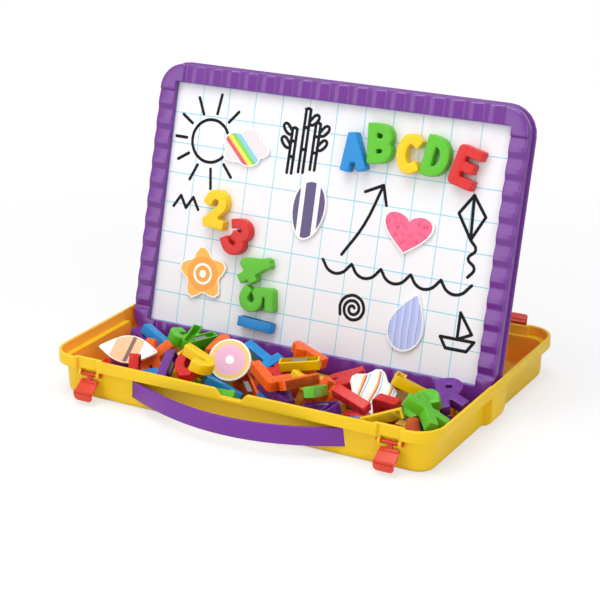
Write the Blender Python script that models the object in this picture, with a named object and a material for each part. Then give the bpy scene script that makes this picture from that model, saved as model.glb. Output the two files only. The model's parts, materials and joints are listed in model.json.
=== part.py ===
"""Magnetic letter board case, in metres, +Z up, +X to the case's right, +Y to its rear.

A shallow yellow tray stands on the ground with its base centre at the origin. Its lid is a
purple frame round a white magnetic board. It stands in the tray on a pair of easel grooves
and leans back. Loose magnetic letters fill the tray and hold on the board.
"""
import math

import bmesh
import bpy
from mathutils import Matrix, Vector
from mathutils.bvhtree import BVHTree

# Clearances, cutting and meshing
CLEAR = 0.0003
OVERRUN = 0.002
EDGE = 0.0004
MERGE = 0.00001
CORNER_STEPS = 6
ROUND_STEPS = 12

# Tray
LID_MARGIN = 0.0022
TRAY_HEIGHT = 0.0366
TRAY_CORNER = 0.022
RIM = 0.0026
BAND_BASE = 0.0272
LEDGE = 0.0285
LEDGE_REACH = 0.0079
WALL = 0.0017
WALL_DRAFT = 0.001
BASE_FILLET = 0.006
FLOOR = 0.002

# Latch recesses in the rim band
LATCH_INSET = 0.0371
RECESS_HALF = 0.0093
RECESS_DEPTH = 0.0028
STEP_DRAFT = 0.0004

# Finger notch in the front rim
NOTCH_HALF = 0.0148
NOTCH_FLAT_HALF = 0.0075
NOTCH_BASE = 0.030
NOTCH_STEPS = 4

# Easel grooves in the side walls
GROOVE_FRONT = -0.016
GROOVE_REAR = 0.0115
GROOVE_BASE = 0.004
GROOVE_ROUND = 0.008
GROOVE_STEPS = 3
GROOVE_BULGE = 0.005
GROOVE_BASE_ROUND = 0.0026
SEAT_RIBS = 3
SEAT_RIB_WIDTH = 0.0016
SEAT_RIB_PITCH = 0.006
SEAT_RIB_INSET = 0.012
SEAT_STOP = 0.002
SEAT_STOP_RISE = 0.003

# Board and lid
CELL = 0.025
COLUMNS = 12
ROWS = 8
LID_LEAN = math.radians(15.41)
LID_FOOT_Y = 0.0014
LID_FOOT_Z = 0.0100
FRAME_REACH = 0.0151
FRAME_CREST = 0.006
FRAME_EDGE = 0.0007
FRAME_SHOULDER = 0.0026
FRAME_WALL = 0.0018
FRAME_LIP = 0.0032
INNER_CORNER = 0.001
FLANGE_REACH = 0.0171
FLANGE_THICK = 0.0019
FRAME_BACK = 0.0043
LID_CORNER = 0.024
FACE_THICK = 0.0005
STEEL_THICK = 0.0008
SUPPORT_WIDTH = 0.002
VALLEY_DEPTH = 0.002
VALLEY_FLAT = 0.0024
FLANK = 0.00523
STEEP_FLANK = 0.0004
SHORT_SIDE_VALLEYS = 12
LONG_SIDE_VALLEYS = 18
SHORT_SIDE_MARGIN = 0.009
LONG_SIDE_MARGIN = 0.00875

# Latches
BAR_INSET = 0.0044
BAR_Z = 0.0229
BAR_RADIUS = 0.0013
BAR_HALF = 0.01125
NECK_HALF = 0.0019
NECK = 0.006
PLATE = 0.0136
PLATE_THICK = 0.0014
PLATE_ROOT_HALF = 0.0079
PLATE_END_HALF = 0.0086
PLATE_DROP = math.radians(36.6)
CROSS_BAR = 0.0022
CROSS_BAR_RISE = 0.0009
CATCH = 0.0012
CATCH_REACH = 0.0029
TAB = 0.0053
TAB_LEAN = math.radians(12.8)
TAB_ROUND = 0.003
LATCH_CLOSE = math.radians(126.6)
HOOK_OFFSET = 0.0085
HOOK_WIDTH = 0.0022
HOOK_WALL = 0.0011
HOOK_MOUTH = math.radians(80)
SHELF_HALF = 0.010
SHELF_DEPTH = 0.0011
SHELF_THICK = 0.0012
SHELF_Z = 0.0189

# Handle
HANDLE_LATCH_GAP = 0.0402
HANDLE_BOW = 0.0254
HANDLE_SWAY = 0.0035
HANDLE_BASE = 0.0095
HANDLE_TALL = 0.0150
HANDLE_THICK = 0.0022
HANDLE_STEPS = 16
HANDLE_TAIL = 0.0066
HANDLE_HEAD = 0.0035
HANDLE_HEAD_RISE = 0.002

# Letters
LETTER_HEIGHT = 0.032
LETTER_WIDTH = 0.0215
STROKE = 0.0080
SHARP_TURN = math.radians(78)
CORNER_CUT_SHARE = 0.4
LETTER_DEPTH = 0.0085
LETTER_WALL = 0.0012
LETTER_FACE = 0.0018
MAGNET_RADIUS = 0.0024
MAGNET_DEPTH = 0.003

# Flat printed magnets, with half of each one's width and height
CARD_THICK = 0.002
CARD_STEPS = 30
CARD_HALF_SIZES = {
    "cloud": (0.0230, 0.0190),
    "balloon": (0.0165, 0.0245),
    "heart": (0.0225, 0.0200),
    "star": (0.0235, 0.0235),
    "drop": (0.0175, 0.0240),
    "disc": (0.0170, 0.0170),
    "leaf": (0.0250, 0.0125),
    "flower": (0.0200, 0.0190),
}

# Settling of the loose pieces
SAMPLE = 0.0006
DROP_HEIGHT = 0.15

# Values worked out from the sizes above; the closed lid lies inside the tray's rim
BOARD_X = COLUMNS * CELL / 2
BOARD_S = ROWS * CELL
TRAY_HALF_X = BOARD_X + FLANGE_REACH + LID_MARGIN
TRAY_HALF_Y = BOARD_S / 2 + FLANGE_REACH + LID_MARGIN
WALL_STEP = LEDGE_REACH - WALL
LATCH_X = TRAY_HALF_X - LATCH_INSET
BAR_Y = TRAY_HALF_Y - BAR_INSET
HANDLE_HALF = LATCH_X - HANDLE_LATCH_GAP
LID_BACK = FRAME_BACK + CLEAR + FLANGE_THICK

# Rings of the tray's wall section, counted from its foot: those up to the rim's inner top, the
# rim band's, the rim's own, and the foot of the inside wall
OUTER_RINGS = 10
BAND_RINGS = range(6, 13)
RIM_RINGS = range(8, 12)
INNER_FOOT_RING = 15

LATCH_SIDES = (("front_left", -1, -1), ("front_right", 1, -1), ("rear_left", -1, 1), ("rear_right", 1, 1))
COLOURS = {
    "yellow": (0.89, 0.69, 0.06),
    "purple": (0.35, 0.10, 0.50),
    "red": (0.80, 0.04, 0.03),
    "green": (0.15, 0.55, 0.04),
    "blue": (0.03, 0.26, 0.68),
    "orange": (0.88, 0.16, 0.02),
    "lemon": (0.95, 0.75, 0.01),
    "violet": (0.20, 0.05, 0.32),
}


def reset_scene():
    for obj in list(bpy.data.objects):
        bpy.data.objects.remove(obj, do_unlink=True)


def material(name, colour, roughness=0.4, metallic=0.0):
    found = bpy.data.materials.get(name)
    if found:
        return found
    made = bpy.data.materials.new(name)
    made.use_nodes = True
    shader = made.node_tree.nodes["Principled BSDF"]
    shader.inputs["Base Color"].default_value = (*colour, 1.0)
    shader.inputs["Roughness"].default_value = roughness
    shader.inputs["Metallic"].default_value = metallic
    return made


def letter_material(colour):
    return material("letter_" + colour, COLOURS[colour], 0.3)


def card_material():
    return material("card", (0.9, 0.88, 0.86), 0.3)


def add_object(name, mesh, surface, parent=None, matrix=None):
    """A named object with its own copy of a mesh and its material."""
    own = mesh.copy()
    own.name = name
    own.materials.clear()
    own.materials.append(surface)
    own.shade_smooth()
    own.set_sharp_from_angle(angle=math.radians(35))
    obj = bpy.data.objects.new(name, own)
    bpy.context.scene.collection.objects.link(obj)
    obj.parent = parent
    if matrix is not None:
        obj.matrix_local = matrix
    return obj


def add_empty(name, matrix):
    empty = bpy.data.objects.new(name, None)
    bpy.context.scene.collection.objects.link(empty)
    empty.matrix_world = matrix
    return empty


def finish_mesh(bm):
    bmesh.ops.recalc_face_normals(bm, faces=bm.faces)
    mesh = bpy.data.meshes.new("solid")
    bm.to_mesh(mesh)
    bm.free()
    return mesh


def loft(rings, closed=False):
    """Skin between rings of equal count; an open loft gets flat caps."""
    bm = bmesh.new()
    rows = [[bm.verts.new(point) for point in ring] for ring in rings]
    pairs = list(zip(rows, rows[1:]))
    if closed:
        pairs.append((rows[-1], rows[0]))
    for lower, upper in pairs:
        for i in range(len(lower)):
            j = (i + 1) % len(lower)
            bm.faces.new((lower[i], lower[j], upper[j], upper[i]))
    if not closed:
        bm.faces.new(list(reversed(rows[0])))
        bm.faces.new(rows[-1])
    return finish_mesh(bm)


def add_prism(bm, outline, low, high, place=None):
    """An outline in the first two axes, raised from low to high along the third."""
    place = place or Matrix()
    base = [bm.verts.new(place @ Vector((x, y, low))) for x, y in outline]
    top = [bm.verts.new(place @ Vector((x, y, high))) for x, y in outline]
    bm.faces.new(list(reversed(base)))
    bm.faces.new(top)
    for i in range(len(outline)):
        j = (i + 1) % len(outline)
        bm.faces.new((base[i], base[j], top[j], top[i]))


def prisms(items):
    """One mesh of prisms that stay clear of each other; items hold outline, low, high, place."""
    bm = bmesh.new()
    for item in items:
        add_prism(bm, *item)
    return finish_mesh(bm)


def combine(mesh, joined=(), cut=()):
    """The mesh with others joined to it, then others cut from it, as one plain mesh."""
    base = bpy.data.objects.new("base", mesh)
    bpy.context.scene.collection.objects.link(base)
    tools = []
    steps = [(other, "UNION") for other in joined] + [(other, "DIFFERENCE") for other in cut]
    for other, operation in steps:
        tool = bpy.data.objects.new("tool", other)
        bpy.context.scene.collection.objects.link(tool)
        tool.hide_render = True
        tool.display_type = "WIRE"
        modifier = base.modifiers.new(operation.lower(), "BOOLEAN")
        modifier.operation = operation
        modifier.solver = "EXACT"
        modifier.object = tool
        tools.append(tool)
    bpy.context.view_layer.update()
    depsgraph = bpy.context.evaluated_depsgraph_get()
    result = bpy.data.meshes.new_from_object(base.evaluated_get(depsgraph))
    for obj in [base] + tools:
        bpy.data.objects.remove(obj, do_unlink=True)
    bm = bmesh.new()
    bm.from_mesh(result)
    bmesh.ops.remove_doubles(bm, verts=bm.verts, dist=MERGE)
    bmesh.ops.dissolve_limit(bm, angle_limit=math.radians(0.2), verts=bm.verts, edges=bm.edges)
    return finish_mesh(bm)


def arc(centre, radii, start, end, steps):
    """Points of an elliptical arc, angles in degrees."""
    points = []
    for i in range(steps + 1):
        angle = math.radians(start + (end - start) * i / steps)
        points.append((centre[0] + radii[0] * math.cos(angle), centre[1] + radii[1] * math.sin(angle)))
    return points


def circle(radius):
    return arc((0, 0), (radius, radius), 0, 360 - 360 / ROUND_STEPS, ROUND_STEPS - 1)


def rectangle(low_x, high_x, low_y, high_y):
    return [(low_x, low_y), (high_x, low_y), (high_x, high_y), (low_x, high_y)]


def rounded_rectangle(half_x, half_y, radius, steps):
    """Points of a rounded rectangle, anticlockwise from the end of the front edge."""
    points = []
    corners = ((1, -1, -90), (1, 1, 0), (-1, 1, 90), (-1, -1, 180))
    for side_x, side_y, start in corners:
        centre = (side_x * (half_x - radius), side_y * (half_y - radius))
        points += arc(centre, (radius, radius), start, start + 90, steps)
    return points


# Tray


def wall_profile():
    """Plain wall section as (inset from the band's outside, height): up the outside, over
    the rim and down the inside to the floor."""
    foot = WALL_STEP + WALL_DRAFT
    points = []
    for share in (0, 1 / 3, 2 / 3, 1):
        angle = math.radians(90 * share)
        points.append((foot + BASE_FILLET * (1 - math.sin(angle)), BASE_FILLET * (1 - math.cos(angle))))
    points += [
        (foot - WALL_DRAFT / 4, (BASE_FILLET * 3 + BAND_BASE) / 4),
        (WALL_STEP, BAND_BASE),
        (EDGE, BAND_BASE),
        (0, BAND_BASE + EDGE),
        (0, TRAY_HEIGHT - EDGE),
        (EDGE, TRAY_HEIGHT),
        (RIM - EDGE, TRAY_HEIGHT),
        (RIM, TRAY_HEIGHT - EDGE),
        (RIM + EDGE / 2, LEDGE),
        (LEDGE_REACH - EDGE, LEDGE),
        (LEDGE_REACH, LEDGE - EDGE),
    ]
    inner = foot + WALL
    fillet = BASE_FILLET - FLOOR
    for share in (1, 2 / 3, 1 / 3, 0):
        angle = math.radians(90 * share)
        points.append((inner + fillet * (1 - math.sin(angle)), FLOOR + fillet * (1 - math.cos(angle))))
    return points


def recess_profile():
    return [(inset + RECESS_DEPTH, z) if k in BAND_RINGS else (inset, z)
            for k, (inset, z) in enumerate(wall_profile())]


def notch_profile(top):
    """Wall section whose rim is lowered to a given height."""
    lowered = []
    for k, (inset, z) in enumerate(wall_profile()):
        lowered.append((inset, z + top - TRAY_HEIGHT) if k in RIM_RINGS else (inset, z))
    return lowered


def groove_profile(turn):
    """Section through an easel groove; turn is the angle reached round its lower rear corner."""
    plain = wall_profile()
    outer_rise = GROOVE_ROUND * (1 - math.cos(turn))
    inner_rise = (GROOVE_ROUND - WALL) * (1 - math.cos(turn))
    base = GROOVE_BASE + FLOOR + inner_rise
    inner = plain[INNER_FOOT_RING][0]
    points = list(plain)
    points[3] = (WALL_STEP - GROOVE_BULGE + GROOVE_BASE_ROUND, GROOVE_BASE + outer_rise)
    points[4] = (EDGE, GROOVE_BASE + GROOVE_BASE_ROUND + outer_rise)
    points[5] = (0, (BAND_BASE * 2 + points[4][1]) / 3)
    points[6] = (0, BAND_BASE - EDGE)
    points[10] = (WALL - EDGE, TRAY_HEIGHT)
    points[11] = (WALL, TRAY_HEIGHT - EDGE)
    points[12] = (WALL + EDGE / 4, (LEDGE * 3 + base) / 4)
    points[13] = (WALL + EDGE / 2, (LEDGE + base * 3) / 4)
    points[14] = (WALL + EDGE, base)
    points[15] = (inner - EDGE, base)
    return points


def groove_stations():
    """Places along a side wall as (outer place, inner place, profile)."""
    plain = wall_profile()
    front_in = GROOVE_FRONT + WALL
    rear_in = GROOVE_REAR - WALL - STEP_DRAFT * 2
    stations = [(GROOVE_FRONT - STEP_DRAFT, front_in - STEP_DRAFT, plain)]
    stations.append((GROOVE_FRONT, front_in, groove_profile(0)))
    for i in range(GROOVE_STEPS + 1):
        turn = math.radians(90 * i / GROOVE_STEPS)
        outer = GROOVE_REAR - GROOVE_ROUND * (1 - math.sin(turn))
        inner = rear_in - (GROOVE_ROUND - WALL) * (1 - math.sin(turn))
        stations.append((outer, inner, groove_profile(turn)))
    stations.append((GROOVE_REAR + STEP_DRAFT, rear_in + STEP_DRAFT, plain))
    return stations


def latch_stations(centre):
    plain = wall_profile()
    recess = recess_profile()
    inner_half = RECESS_HALF + RIM
    stations = []
    for side, profile in ((-1, plain), (-1, recess), (1, recess), (1, plain)):
        widen = STEP_DRAFT if profile is plain else 0
        stations.append((centre + side * (RECESS_HALF + widen), centre + side * (inner_half + widen), profile))
    return stations


def notch_stations():
    stations = []
    slope = NOTCH_HALF - NOTCH_FLAT_HALF
    for side in (-1, 1):
        flank = []
        for i in range(NOTCH_STEPS + 1):
            share = i / NOTCH_STEPS
            x = NOTCH_HALF - slope * share
            top = NOTCH_BASE + (TRAY_HEIGHT - NOTCH_BASE) * (1 + math.cos(math.pi * share)) / 2
            flank.append((side * x, side * x, notch_profile(top)))
        stations += flank if side < 0 else reversed(flank)
    return stations


def tray_rings():
    """Every ring of the tray: straight walls with their features, joined by round corners."""
    plain = wall_profile()
    centre_x = TRAY_HALF_X - TRAY_CORNER
    centre_y = TRAY_HALF_Y - TRAY_CORNER
    front = latch_stations(-LATCH_X) + notch_stations() + latch_stations(LATCH_X)
    rear = latch_stations(-LATCH_X) + latch_stations(LATCH_X)
    side = groove_stations()
    mirrored_rear = [(-o, -i, profile) for o, i, profile in reversed(rear)]
    walls = (
        (0, TRAY_HALF_Y, centre_x, front),
        (90, TRAY_HALF_X, centre_y, side),
        (180, TRAY_HALF_Y, centre_x, mirrored_rear),
        (270, TRAY_HALF_X, centre_y, [(-o, -i, profile) for o, i, profile in reversed(side)]),
    )
    rings = [[] for _ in plain]
    for turn, depth, reach, stations in walls:
        spin = Matrix.Rotation(math.radians(turn), 4, "Z")
        for outer, inner, profile in stations:
            for k, (inset, z) in enumerate(profile):
                along = outer if k < OUTER_RINGS else inner
                rings[k].append(spin @ Vector((along, inset - depth, z)))
        for i in range(CORNER_STEPS + 1):
            angle = math.radians(-90 + 90 * i / CORNER_STEPS)
            for k, (inset, z) in enumerate(plain):
                radius = TRAY_CORNER - inset
                x = reach + radius * math.cos(angle)
                y = TRAY_CORNER - depth + radius * math.sin(angle)
                rings[k].append(spin @ Vector((x, y, z)))
    return rings


def hook_outline():
    """A C round the latch bar, open below, in (outward, up) about the bar's axis."""
    inner = BAR_RADIUS + CLEAR
    outer = inner + HOOK_WALL
    start = -90 + math.degrees(HOOK_MOUTH) / 2
    end = 270 - math.degrees(HOOK_MOUTH) / 2
    return arc((0, 0), (outer, outer), start, end, ROUND_STEPS) + arc(
        (0, 0), (inner, inner), end, start, ROUND_STEPS)


def hinge_place(side_x, side_y):
    """Frame of a latch at its bar: X along the bar, Y outward, Z up."""
    turn = 0 if side_y > 0 else math.pi
    at = Matrix.Translation((side_x * LATCH_X, side_y * BAR_Y, BAR_Z))
    return at @ Matrix.Rotation(turn, 4, "Z")


def profile_axes():
    """Turns a flat outline's (x, y, z) into (outward, up, along the bar)."""
    return Matrix(((0, 0, 1, 0), (1, 0, 0, 0), (0, 1, 0, 0), (0, 0, 0, 1)))


def hinge_fittings():
    """The hooks, their stems up to the band, and the small shelf below each bar."""
    hooks = []
    stems = []
    shelves = []
    stem_half = BAR_RADIUS
    ring = BAR_RADIUS + CLEAR + HOOK_WALL / 2
    wall_y = TRAY_HALF_Y - WALL_STEP - WALL / 2
    for _, side_x, side_y in LATCH_SIDES:
        place = hinge_place(side_x, side_y) @ profile_axes()
        for offset in (-HOOK_OFFSET, HOOK_OFFSET):
            low = offset - HOOK_WIDTH / 2
            hooks.append((hook_outline(), low, low + HOOK_WIDTH, place))
            stem = rectangle(-stem_half, stem_half, ring, BAND_BASE - BAR_Z + EDGE)
            stems.append((stem, low + EDGE / 2, low + HOOK_WIDTH - EDGE / 2, place))
        shelf = rectangle(wall_y - BAR_Y - WALL_DRAFT, wall_y - BAR_Y + WALL / 2 + SHELF_DEPTH,
                          SHELF_Z - BAR_Z, SHELF_Z - BAR_Z + SHELF_THICK)
        shelves.append((shelf, -SHELF_HALF, SHELF_HALF, place))
    return prisms(hooks), prisms(stems), prisms(shelves)


def seat_ribs():
    """Ribs on the floor under the lid's foot, with an upstand in front of it."""
    foot_back = LID_FOOT_Y
    thick = (FRAME_CREST + LID_BACK) * math.cos(LID_LEAN)
    foot_front = foot_back - thick
    rise = thick * math.tan(LID_LEAN)
    top_back = LID_FOOT_Z - CLEAR / math.cos(LID_LEAN)
    top_front = top_back + rise
    stop = foot_front - CLEAR
    outline = [
        (foot_back + SEAT_STOP, FLOOR / 2), (foot_back + SEAT_STOP, top_back - SEAT_STOP * math.tan(LID_LEAN)),
        (stop, top_front), (stop, top_front + SEAT_STOP_RISE),
        (stop - SEAT_STOP, top_front + SEAT_STOP_RISE), (stop - SEAT_STOP, FLOOR / 2),
    ]
    items = []
    outermost = TRAY_HALF_X - LID_CORNER - SEAT_RIB_INSET / 2
    for side in (-1, 1):
        for i in range(SEAT_RIBS):
            x = side * (outermost - i * SEAT_RIB_PITCH)
            place = profile_axes()
            items.append((outline, x - SEAT_RIB_WIDTH / 2, x + SEAT_RIB_WIDTH / 2, place))
    return prisms(items)


def handle_tail(side):
    """End of the bow at the wall, and the direction in which the strap goes on inward."""
    slope = 2 * HANDLE_BOW / HANDLE_HALF
    direction = Vector((side, slope)).normalized()
    start = Vector((side * HANDLE_HALF, -(TRAY_HALF_Y - WALL_STEP)))
    return start, direction


def slot_cutters():
    items = []
    for side in (-1, 1):
        start, along = handle_tail(side)
        across = Vector((-along.y, along.x)) * side
        reach = HANDLE_TAIL + OVERRUN
        back = start - along * reach
        front = start + along * reach
        low = -CLEAR
        high = HANDLE_THICK + CLEAR
        corners = [back + across * low, front + across * low, front + across * high, back + across * high]
        outline = [(p.x, p.y) for p in corners]
        items.append((outline, HANDLE_BASE - CLEAR, HANDLE_BASE + HANDLE_TALL + CLEAR))
    return prisms(items)


def build_tray():
    hooks, stems, shelves = hinge_fittings()
    mesh = combine(loft(tray_rings()), joined=(hooks, stems, shelves, seat_ribs()), cut=(slot_cutters(),))
    return add_object("tray", mesh, material("tray_yellow", COLOURS["yellow"], 0.35))


# Handle


def handle_point(share, offset):
    """A point of the bowed strap, offset inward from its outer face."""
    x = share * HANDLE_HALF + HANDLE_SWAY * (1 - share * share)
    y = -(TRAY_HALF_Y - WALL_STEP) - HANDLE_BOW * (1 - share * share)
    slope_x = HANDLE_HALF - 2 * HANDLE_SWAY * share
    slope_y = 2 * HANDLE_BOW * share
    normal = Vector((-slope_y, slope_x)).normalized()
    return (x + normal.x * offset, y + normal.y * offset)


def build_handle():
    """A flat strap: a bowed middle, straight tails through the wall and taller heads inside."""
    shares = [-1 + 2 * i / HANDLE_STEPS for i in range(HANDLE_STEPS + 1)]
    outer = [handle_point(share, 0) for share in shares[1:-1]]
    inner = [handle_point(share, HANDLE_THICK) for share in shares[1:-1]]
    ends = {}
    heads = []
    for side in (-1, 1):
        start, along = handle_tail(side)
        across = Vector((-along.y, along.x)) * side
        tip = start + along * (HANDLE_TAIL + HANDLE_HEAD)
        ends[side] = [start, tip, tip + across * HANDLE_THICK, start + across * HANDLE_THICK]
        root = start + along * HANDLE_TAIL
        head = [root, tip, tip + across * HANDLE_THICK, root + across * HANDLE_THICK]
        outline = [(p.x, p.y) for p in head]
        low = HANDLE_BASE - HANDLE_HEAD_RISE
        high = HANDLE_BASE + HANDLE_TALL + HANDLE_HEAD_RISE
        heads.append((outline, low, high))
    left = [(p.x, p.y) for p in ends[-1]]
    right = [(p.x, p.y) for p in ends[1]]
    outline = [left[2], left[1], left[0]] + outer + right + list(reversed(inner)) + [left[3]]
    strap = prisms([(outline, HANDLE_BASE, HANDLE_BASE + HANDLE_TALL)])
    mesh = combine(strap, joined=(prisms(heads),))
    return add_object("handle_strap", mesh, material("handle_purple", COLOURS["purple"], 0.35))


# Latches


def build_latch(name, side_x, side_y):
    """A clip with a hinge bar, a neck, a plate with a catch and a finger tab, modelled open."""
    along = Vector((math.cos(PLATE_DROP), -math.sin(PLATE_DROP)))
    inward = Vector((math.sin(PLATE_DROP), math.cos(PLATE_DROP)))
    root = Vector((0, -NECK))
    end = root + along * PLATE
    half = PLATE_THICK / 2
    axes = profile_axes()
    bar = prisms([(circle(BAR_RADIUS), -BAR_HALF, BAR_HALF, axes)])
    neck = prisms([(rectangle(-half, half, -NECK - half, 0), -NECK_HALF, NECK_HALF, axes)])

    def on_plate(points):
        return [tuple(root + along * a + inward * b) for a, b in points]

    face = Matrix((
        (1, 0, 0, 0),
        (0, along.x, inward.x, root.x),
        (0, along.y, inward.y, root.y),
        (0, 0, 0, 1),
    ))
    plate_outline = [
        (-PLATE_ROOT_HALF, -half), (PLATE_ROOT_HALF, -half), (PLATE_END_HALF, PLATE), (-PLATE_END_HALF, PLATE),
    ]
    plate = prisms([(plate_outline, -half, half, face)])
    cross = prisms([(on_plate([(EDGE, 0), (CROSS_BAR, 0), (CROSS_BAR, half + CROSS_BAR_RISE),
                               (EDGE, half + CROSS_BAR_RISE)]),
                     -PLATE_ROOT_HALF + EDGE, PLATE_ROOT_HALF - EDGE, axes)])
    ridge_end = PLATE - EDGE
    ridge = prisms([(on_plate([(ridge_end - CATCH, 0), (ridge_end, 0), (ridge_end, half + CATCH_REACH / 2),
                               (ridge_end - CATCH, half + CATCH_REACH)]),
                     -PLATE_ROOT_HALF, PLATE_ROOT_HALF, axes)])
    down = Vector((-math.sin(TAB_LEAN), -math.cos(TAB_LEAN)))
    out = Vector((math.cos(TAB_LEAN), -math.sin(TAB_LEAN)))
    tab_place = Matrix((
        (1, 0, 0, 0),
        (0, down.x, out.x, end.x),
        (0, down.y, out.y, end.y),
        (0, 0, 0, 1),
    ))
    tab_half = PLATE_END_HALF - EDGE
    tab_outline = [(-tab_half, -half), (tab_half, -half)]
    tab_outline += arc((tab_half - TAB_ROUND, TAB - TAB_ROUND), (TAB_ROUND, TAB_ROUND), 0, 90, 3)
    tab_outline += arc((TAB_ROUND - tab_half, TAB - TAB_ROUND), (TAB_ROUND, TAB_ROUND), 90, 180, 3)
    tab = prisms([(tab_outline, -half, half, tab_place)])
    mesh = combine(bar, joined=(neck, plate, cross, ridge, tab))
    turned = LATCH_CLOSE if side_y > 0 else 0
    place = hinge_place(side_x, side_y) @ Matrix.Rotation(turned, 4, "X")
    return add_object("latch_" + name, mesh, material("latch_red", (0.87, 0.10, 0.04), 0.25), matrix=place)


# Lid


def lid_ring(reach, rise, steps=CORNER_STEPS):
    """A ring of the lid, reach beyond the board's edge and rise in front of its face."""
    radius = INNER_CORNER + (LID_CORNER - INNER_CORNER) * max(reach, 0) / FLANGE_REACH
    outline = rounded_rectangle(BOARD_X + reach, BOARD_S / 2 + reach, radius, steps)
    return [Vector((x, y + BOARD_S / 2, rise)) for x, y in outline]


def lid_plate(reach, low, high):
    """A flat plate with the lid's rounded outline."""
    return loft([lid_ring(reach, low), lid_ring(reach, high)])


def valley_cutters():
    """Shallow V grooves across the frame, which leave its ribs, with a steep side by each corner."""
    top = FRAME_CREST + OVERRUN
    run = FLANK * OVERRUN / VALLEY_DEPTH
    flat = VALLEY_FLAT / 2
    bottom = FRAME_CREST - VALLEY_DEPTH
    items = []

    def outline(steep_low, steep_high):
        low = STEEP_FLANK if steep_low else FLANK + run
        high = STEEP_FLANK if steep_high else FLANK + run
        return [(-flat - low, top), (-flat, bottom), (flat, bottom), (flat + high, top)]

    long_span = 2 * BOARD_X - 2 * LONG_SIDE_MARGIN
    short_span = BOARD_S - 2 * SHORT_SIDE_MARGIN
    outside = FRAME_REACH + OVERRUN
    for i in range(LONG_SIDE_VALLEYS):
        x = -long_span / 2 + long_span * i / (LONG_SIDE_VALLEYS - 1)
        shape = outline(i == 0, i == LONG_SIDE_VALLEYS - 1)
        for low in (BOARD_S - OVERRUN, -outside):
            place = Matrix(((1, 0, 0, x), (0, 0, 1, 0), (0, 1, 0, 0), (0, 0, 0, 1)))
            items.append((shape, low, low + outside + OVERRUN, place))
    for i in range(SHORT_SIDE_VALLEYS):
        s = SHORT_SIDE_MARGIN + short_span * i / (SHORT_SIDE_VALLEYS - 1)
        shape = outline(i == 0, i == SHORT_SIDE_VALLEYS - 1)
        for low in (BOARD_X - OVERRUN, -BOARD_X - outside):
            place = Matrix(((0, 0, 1, 0), (1, 0, 0, s), (0, 1, 0, 0), (0, 0, 0, 1)))
            items.append((shape, low, low + outside + OVERRUN, place))
    return prisms(items)


def frame_section():
    """Section of the frame moulding as (reach beyond the board, rise from its face)."""
    shoulder = arc((FRAME_REACH - FRAME_SHOULDER, FRAME_CREST - FRAME_SHOULDER),
                   (FRAME_SHOULDER, FRAME_SHOULDER), 90, 0, 3)
    under = FRAME_CREST - VALLEY_DEPTH - FRAME_WALL
    lip_back = -(FACE_THICK + CLEAR + STEEL_THICK + CLEAR)
    return [(0, CLEAR), (0, FRAME_CREST - FRAME_EDGE), (FRAME_EDGE, FRAME_CREST)] + shoulder + [
        (FRAME_REACH, -FRAME_BACK),
        (FRAME_REACH - FRAME_WALL, -FRAME_BACK),
        (FRAME_REACH - FRAME_WALL, under),
        (FRAME_LIP + FRAME_WALL, under),
        (FRAME_LIP + FRAME_WALL, lip_back),
        (FRAME_LIP, lip_back),
        (FRAME_LIP, CLEAR),
    ]


def build_lid():
    """The lid's pieces under an empty whose axes are across, up the board and out of its face."""
    tilt = Matrix.Rotation(math.pi / 2 - LID_LEAN, 4, "X")
    foot = Vector((0, -FLANGE_REACH, -LID_BACK))
    at = Vector((0, LID_FOOT_Y, LID_FOOT_Z)) - tilt.to_3x3() @ foot
    lid = add_empty("lid_axis", Matrix.Translation(at) @ tilt)
    purple = material("lid_purple", COLOURS["purple"], 0.35)
    frame = combine(loft([lid_ring(*point) for point in frame_section()], closed=True), cut=(valley_cutters(),))
    add_object("lid_frame", frame, purple, lid)
    inner = FRAME_LIP - CLEAR
    face_back = -FACE_THICK
    steel_front = face_back - CLEAR
    steel_back = steel_front - STEEL_THICK
    add_object("board_face", lid_plate(inner, face_back, 0), material("board_white", (0.9, 0.9, 0.92), 0.3), lid)
    steel = material("sheet_steel", (0.55, 0.56, 0.58), 0.35, 1.0)
    add_object("steel_sheet", lid_plate(inner, steel_back, steel_front), steel, lid)
    back = -LID_BACK
    front = back + FLANGE_THICK
    support = steel_back - CLEAR
    rings = [
        lid_ring(FLANGE_REACH - EDGE, back), lid_ring(FLANGE_REACH, back + EDGE),
        lid_ring(FLANGE_REACH, front - EDGE), lid_ring(FLANGE_REACH - EDGE, front),
        lid_ring(inner - EDGE, front), lid_ring(inner - EDGE, support),
        lid_ring(inner - EDGE - SUPPORT_WIDTH, support), lid_ring(inner - EDGE - SUPPORT_WIDTH, front),
    ]
    add_object("lid_back_panel", loft(rings), purple, lid)
    return lid


# Letters


def stroke_outline(points, half):
    """Outline of a stroke along a centre line, with square ends and cut corners at sharp turns."""
    line = [Vector(p) for p in points]
    first = (line[1] - line[0]).normalized()
    last = (line[-1] - line[-2]).normalized()
    line[0] -= first * half
    line[-1] += last * half
    left = []
    right = []
    for i, point in enumerate(line):
        before = (point - line[i - 1]).normalized() if i > 0 else first
        after = (line[i + 1] - point).normalized() if i < len(line) - 1 else last
        sides = [Vector((-d.y, d.x)) for d in (before, after)]
        middle = (sides[0] + sides[1]).normalized()
        mitre = middle * (half / middle.dot(sides[0]))
        turn = before.x * after.y - before.y * after.x
        sharp = before.angle(after) > SHARP_TURN
        on = before * half * CORNER_CUT_SHARE
        back = after * half * CORNER_CUT_SHARE
        left += [point + sides[0] * half + on, point + sides[1] * half - back] if sharp and turn < 0 else [
            point + mitre]
        right += [point - sides[0] * half + on, point - sides[1] * half - back] if sharp and turn > 0 else [
            point - mitre]
    return [tuple(p) for p in left + list(reversed(right))]


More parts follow.
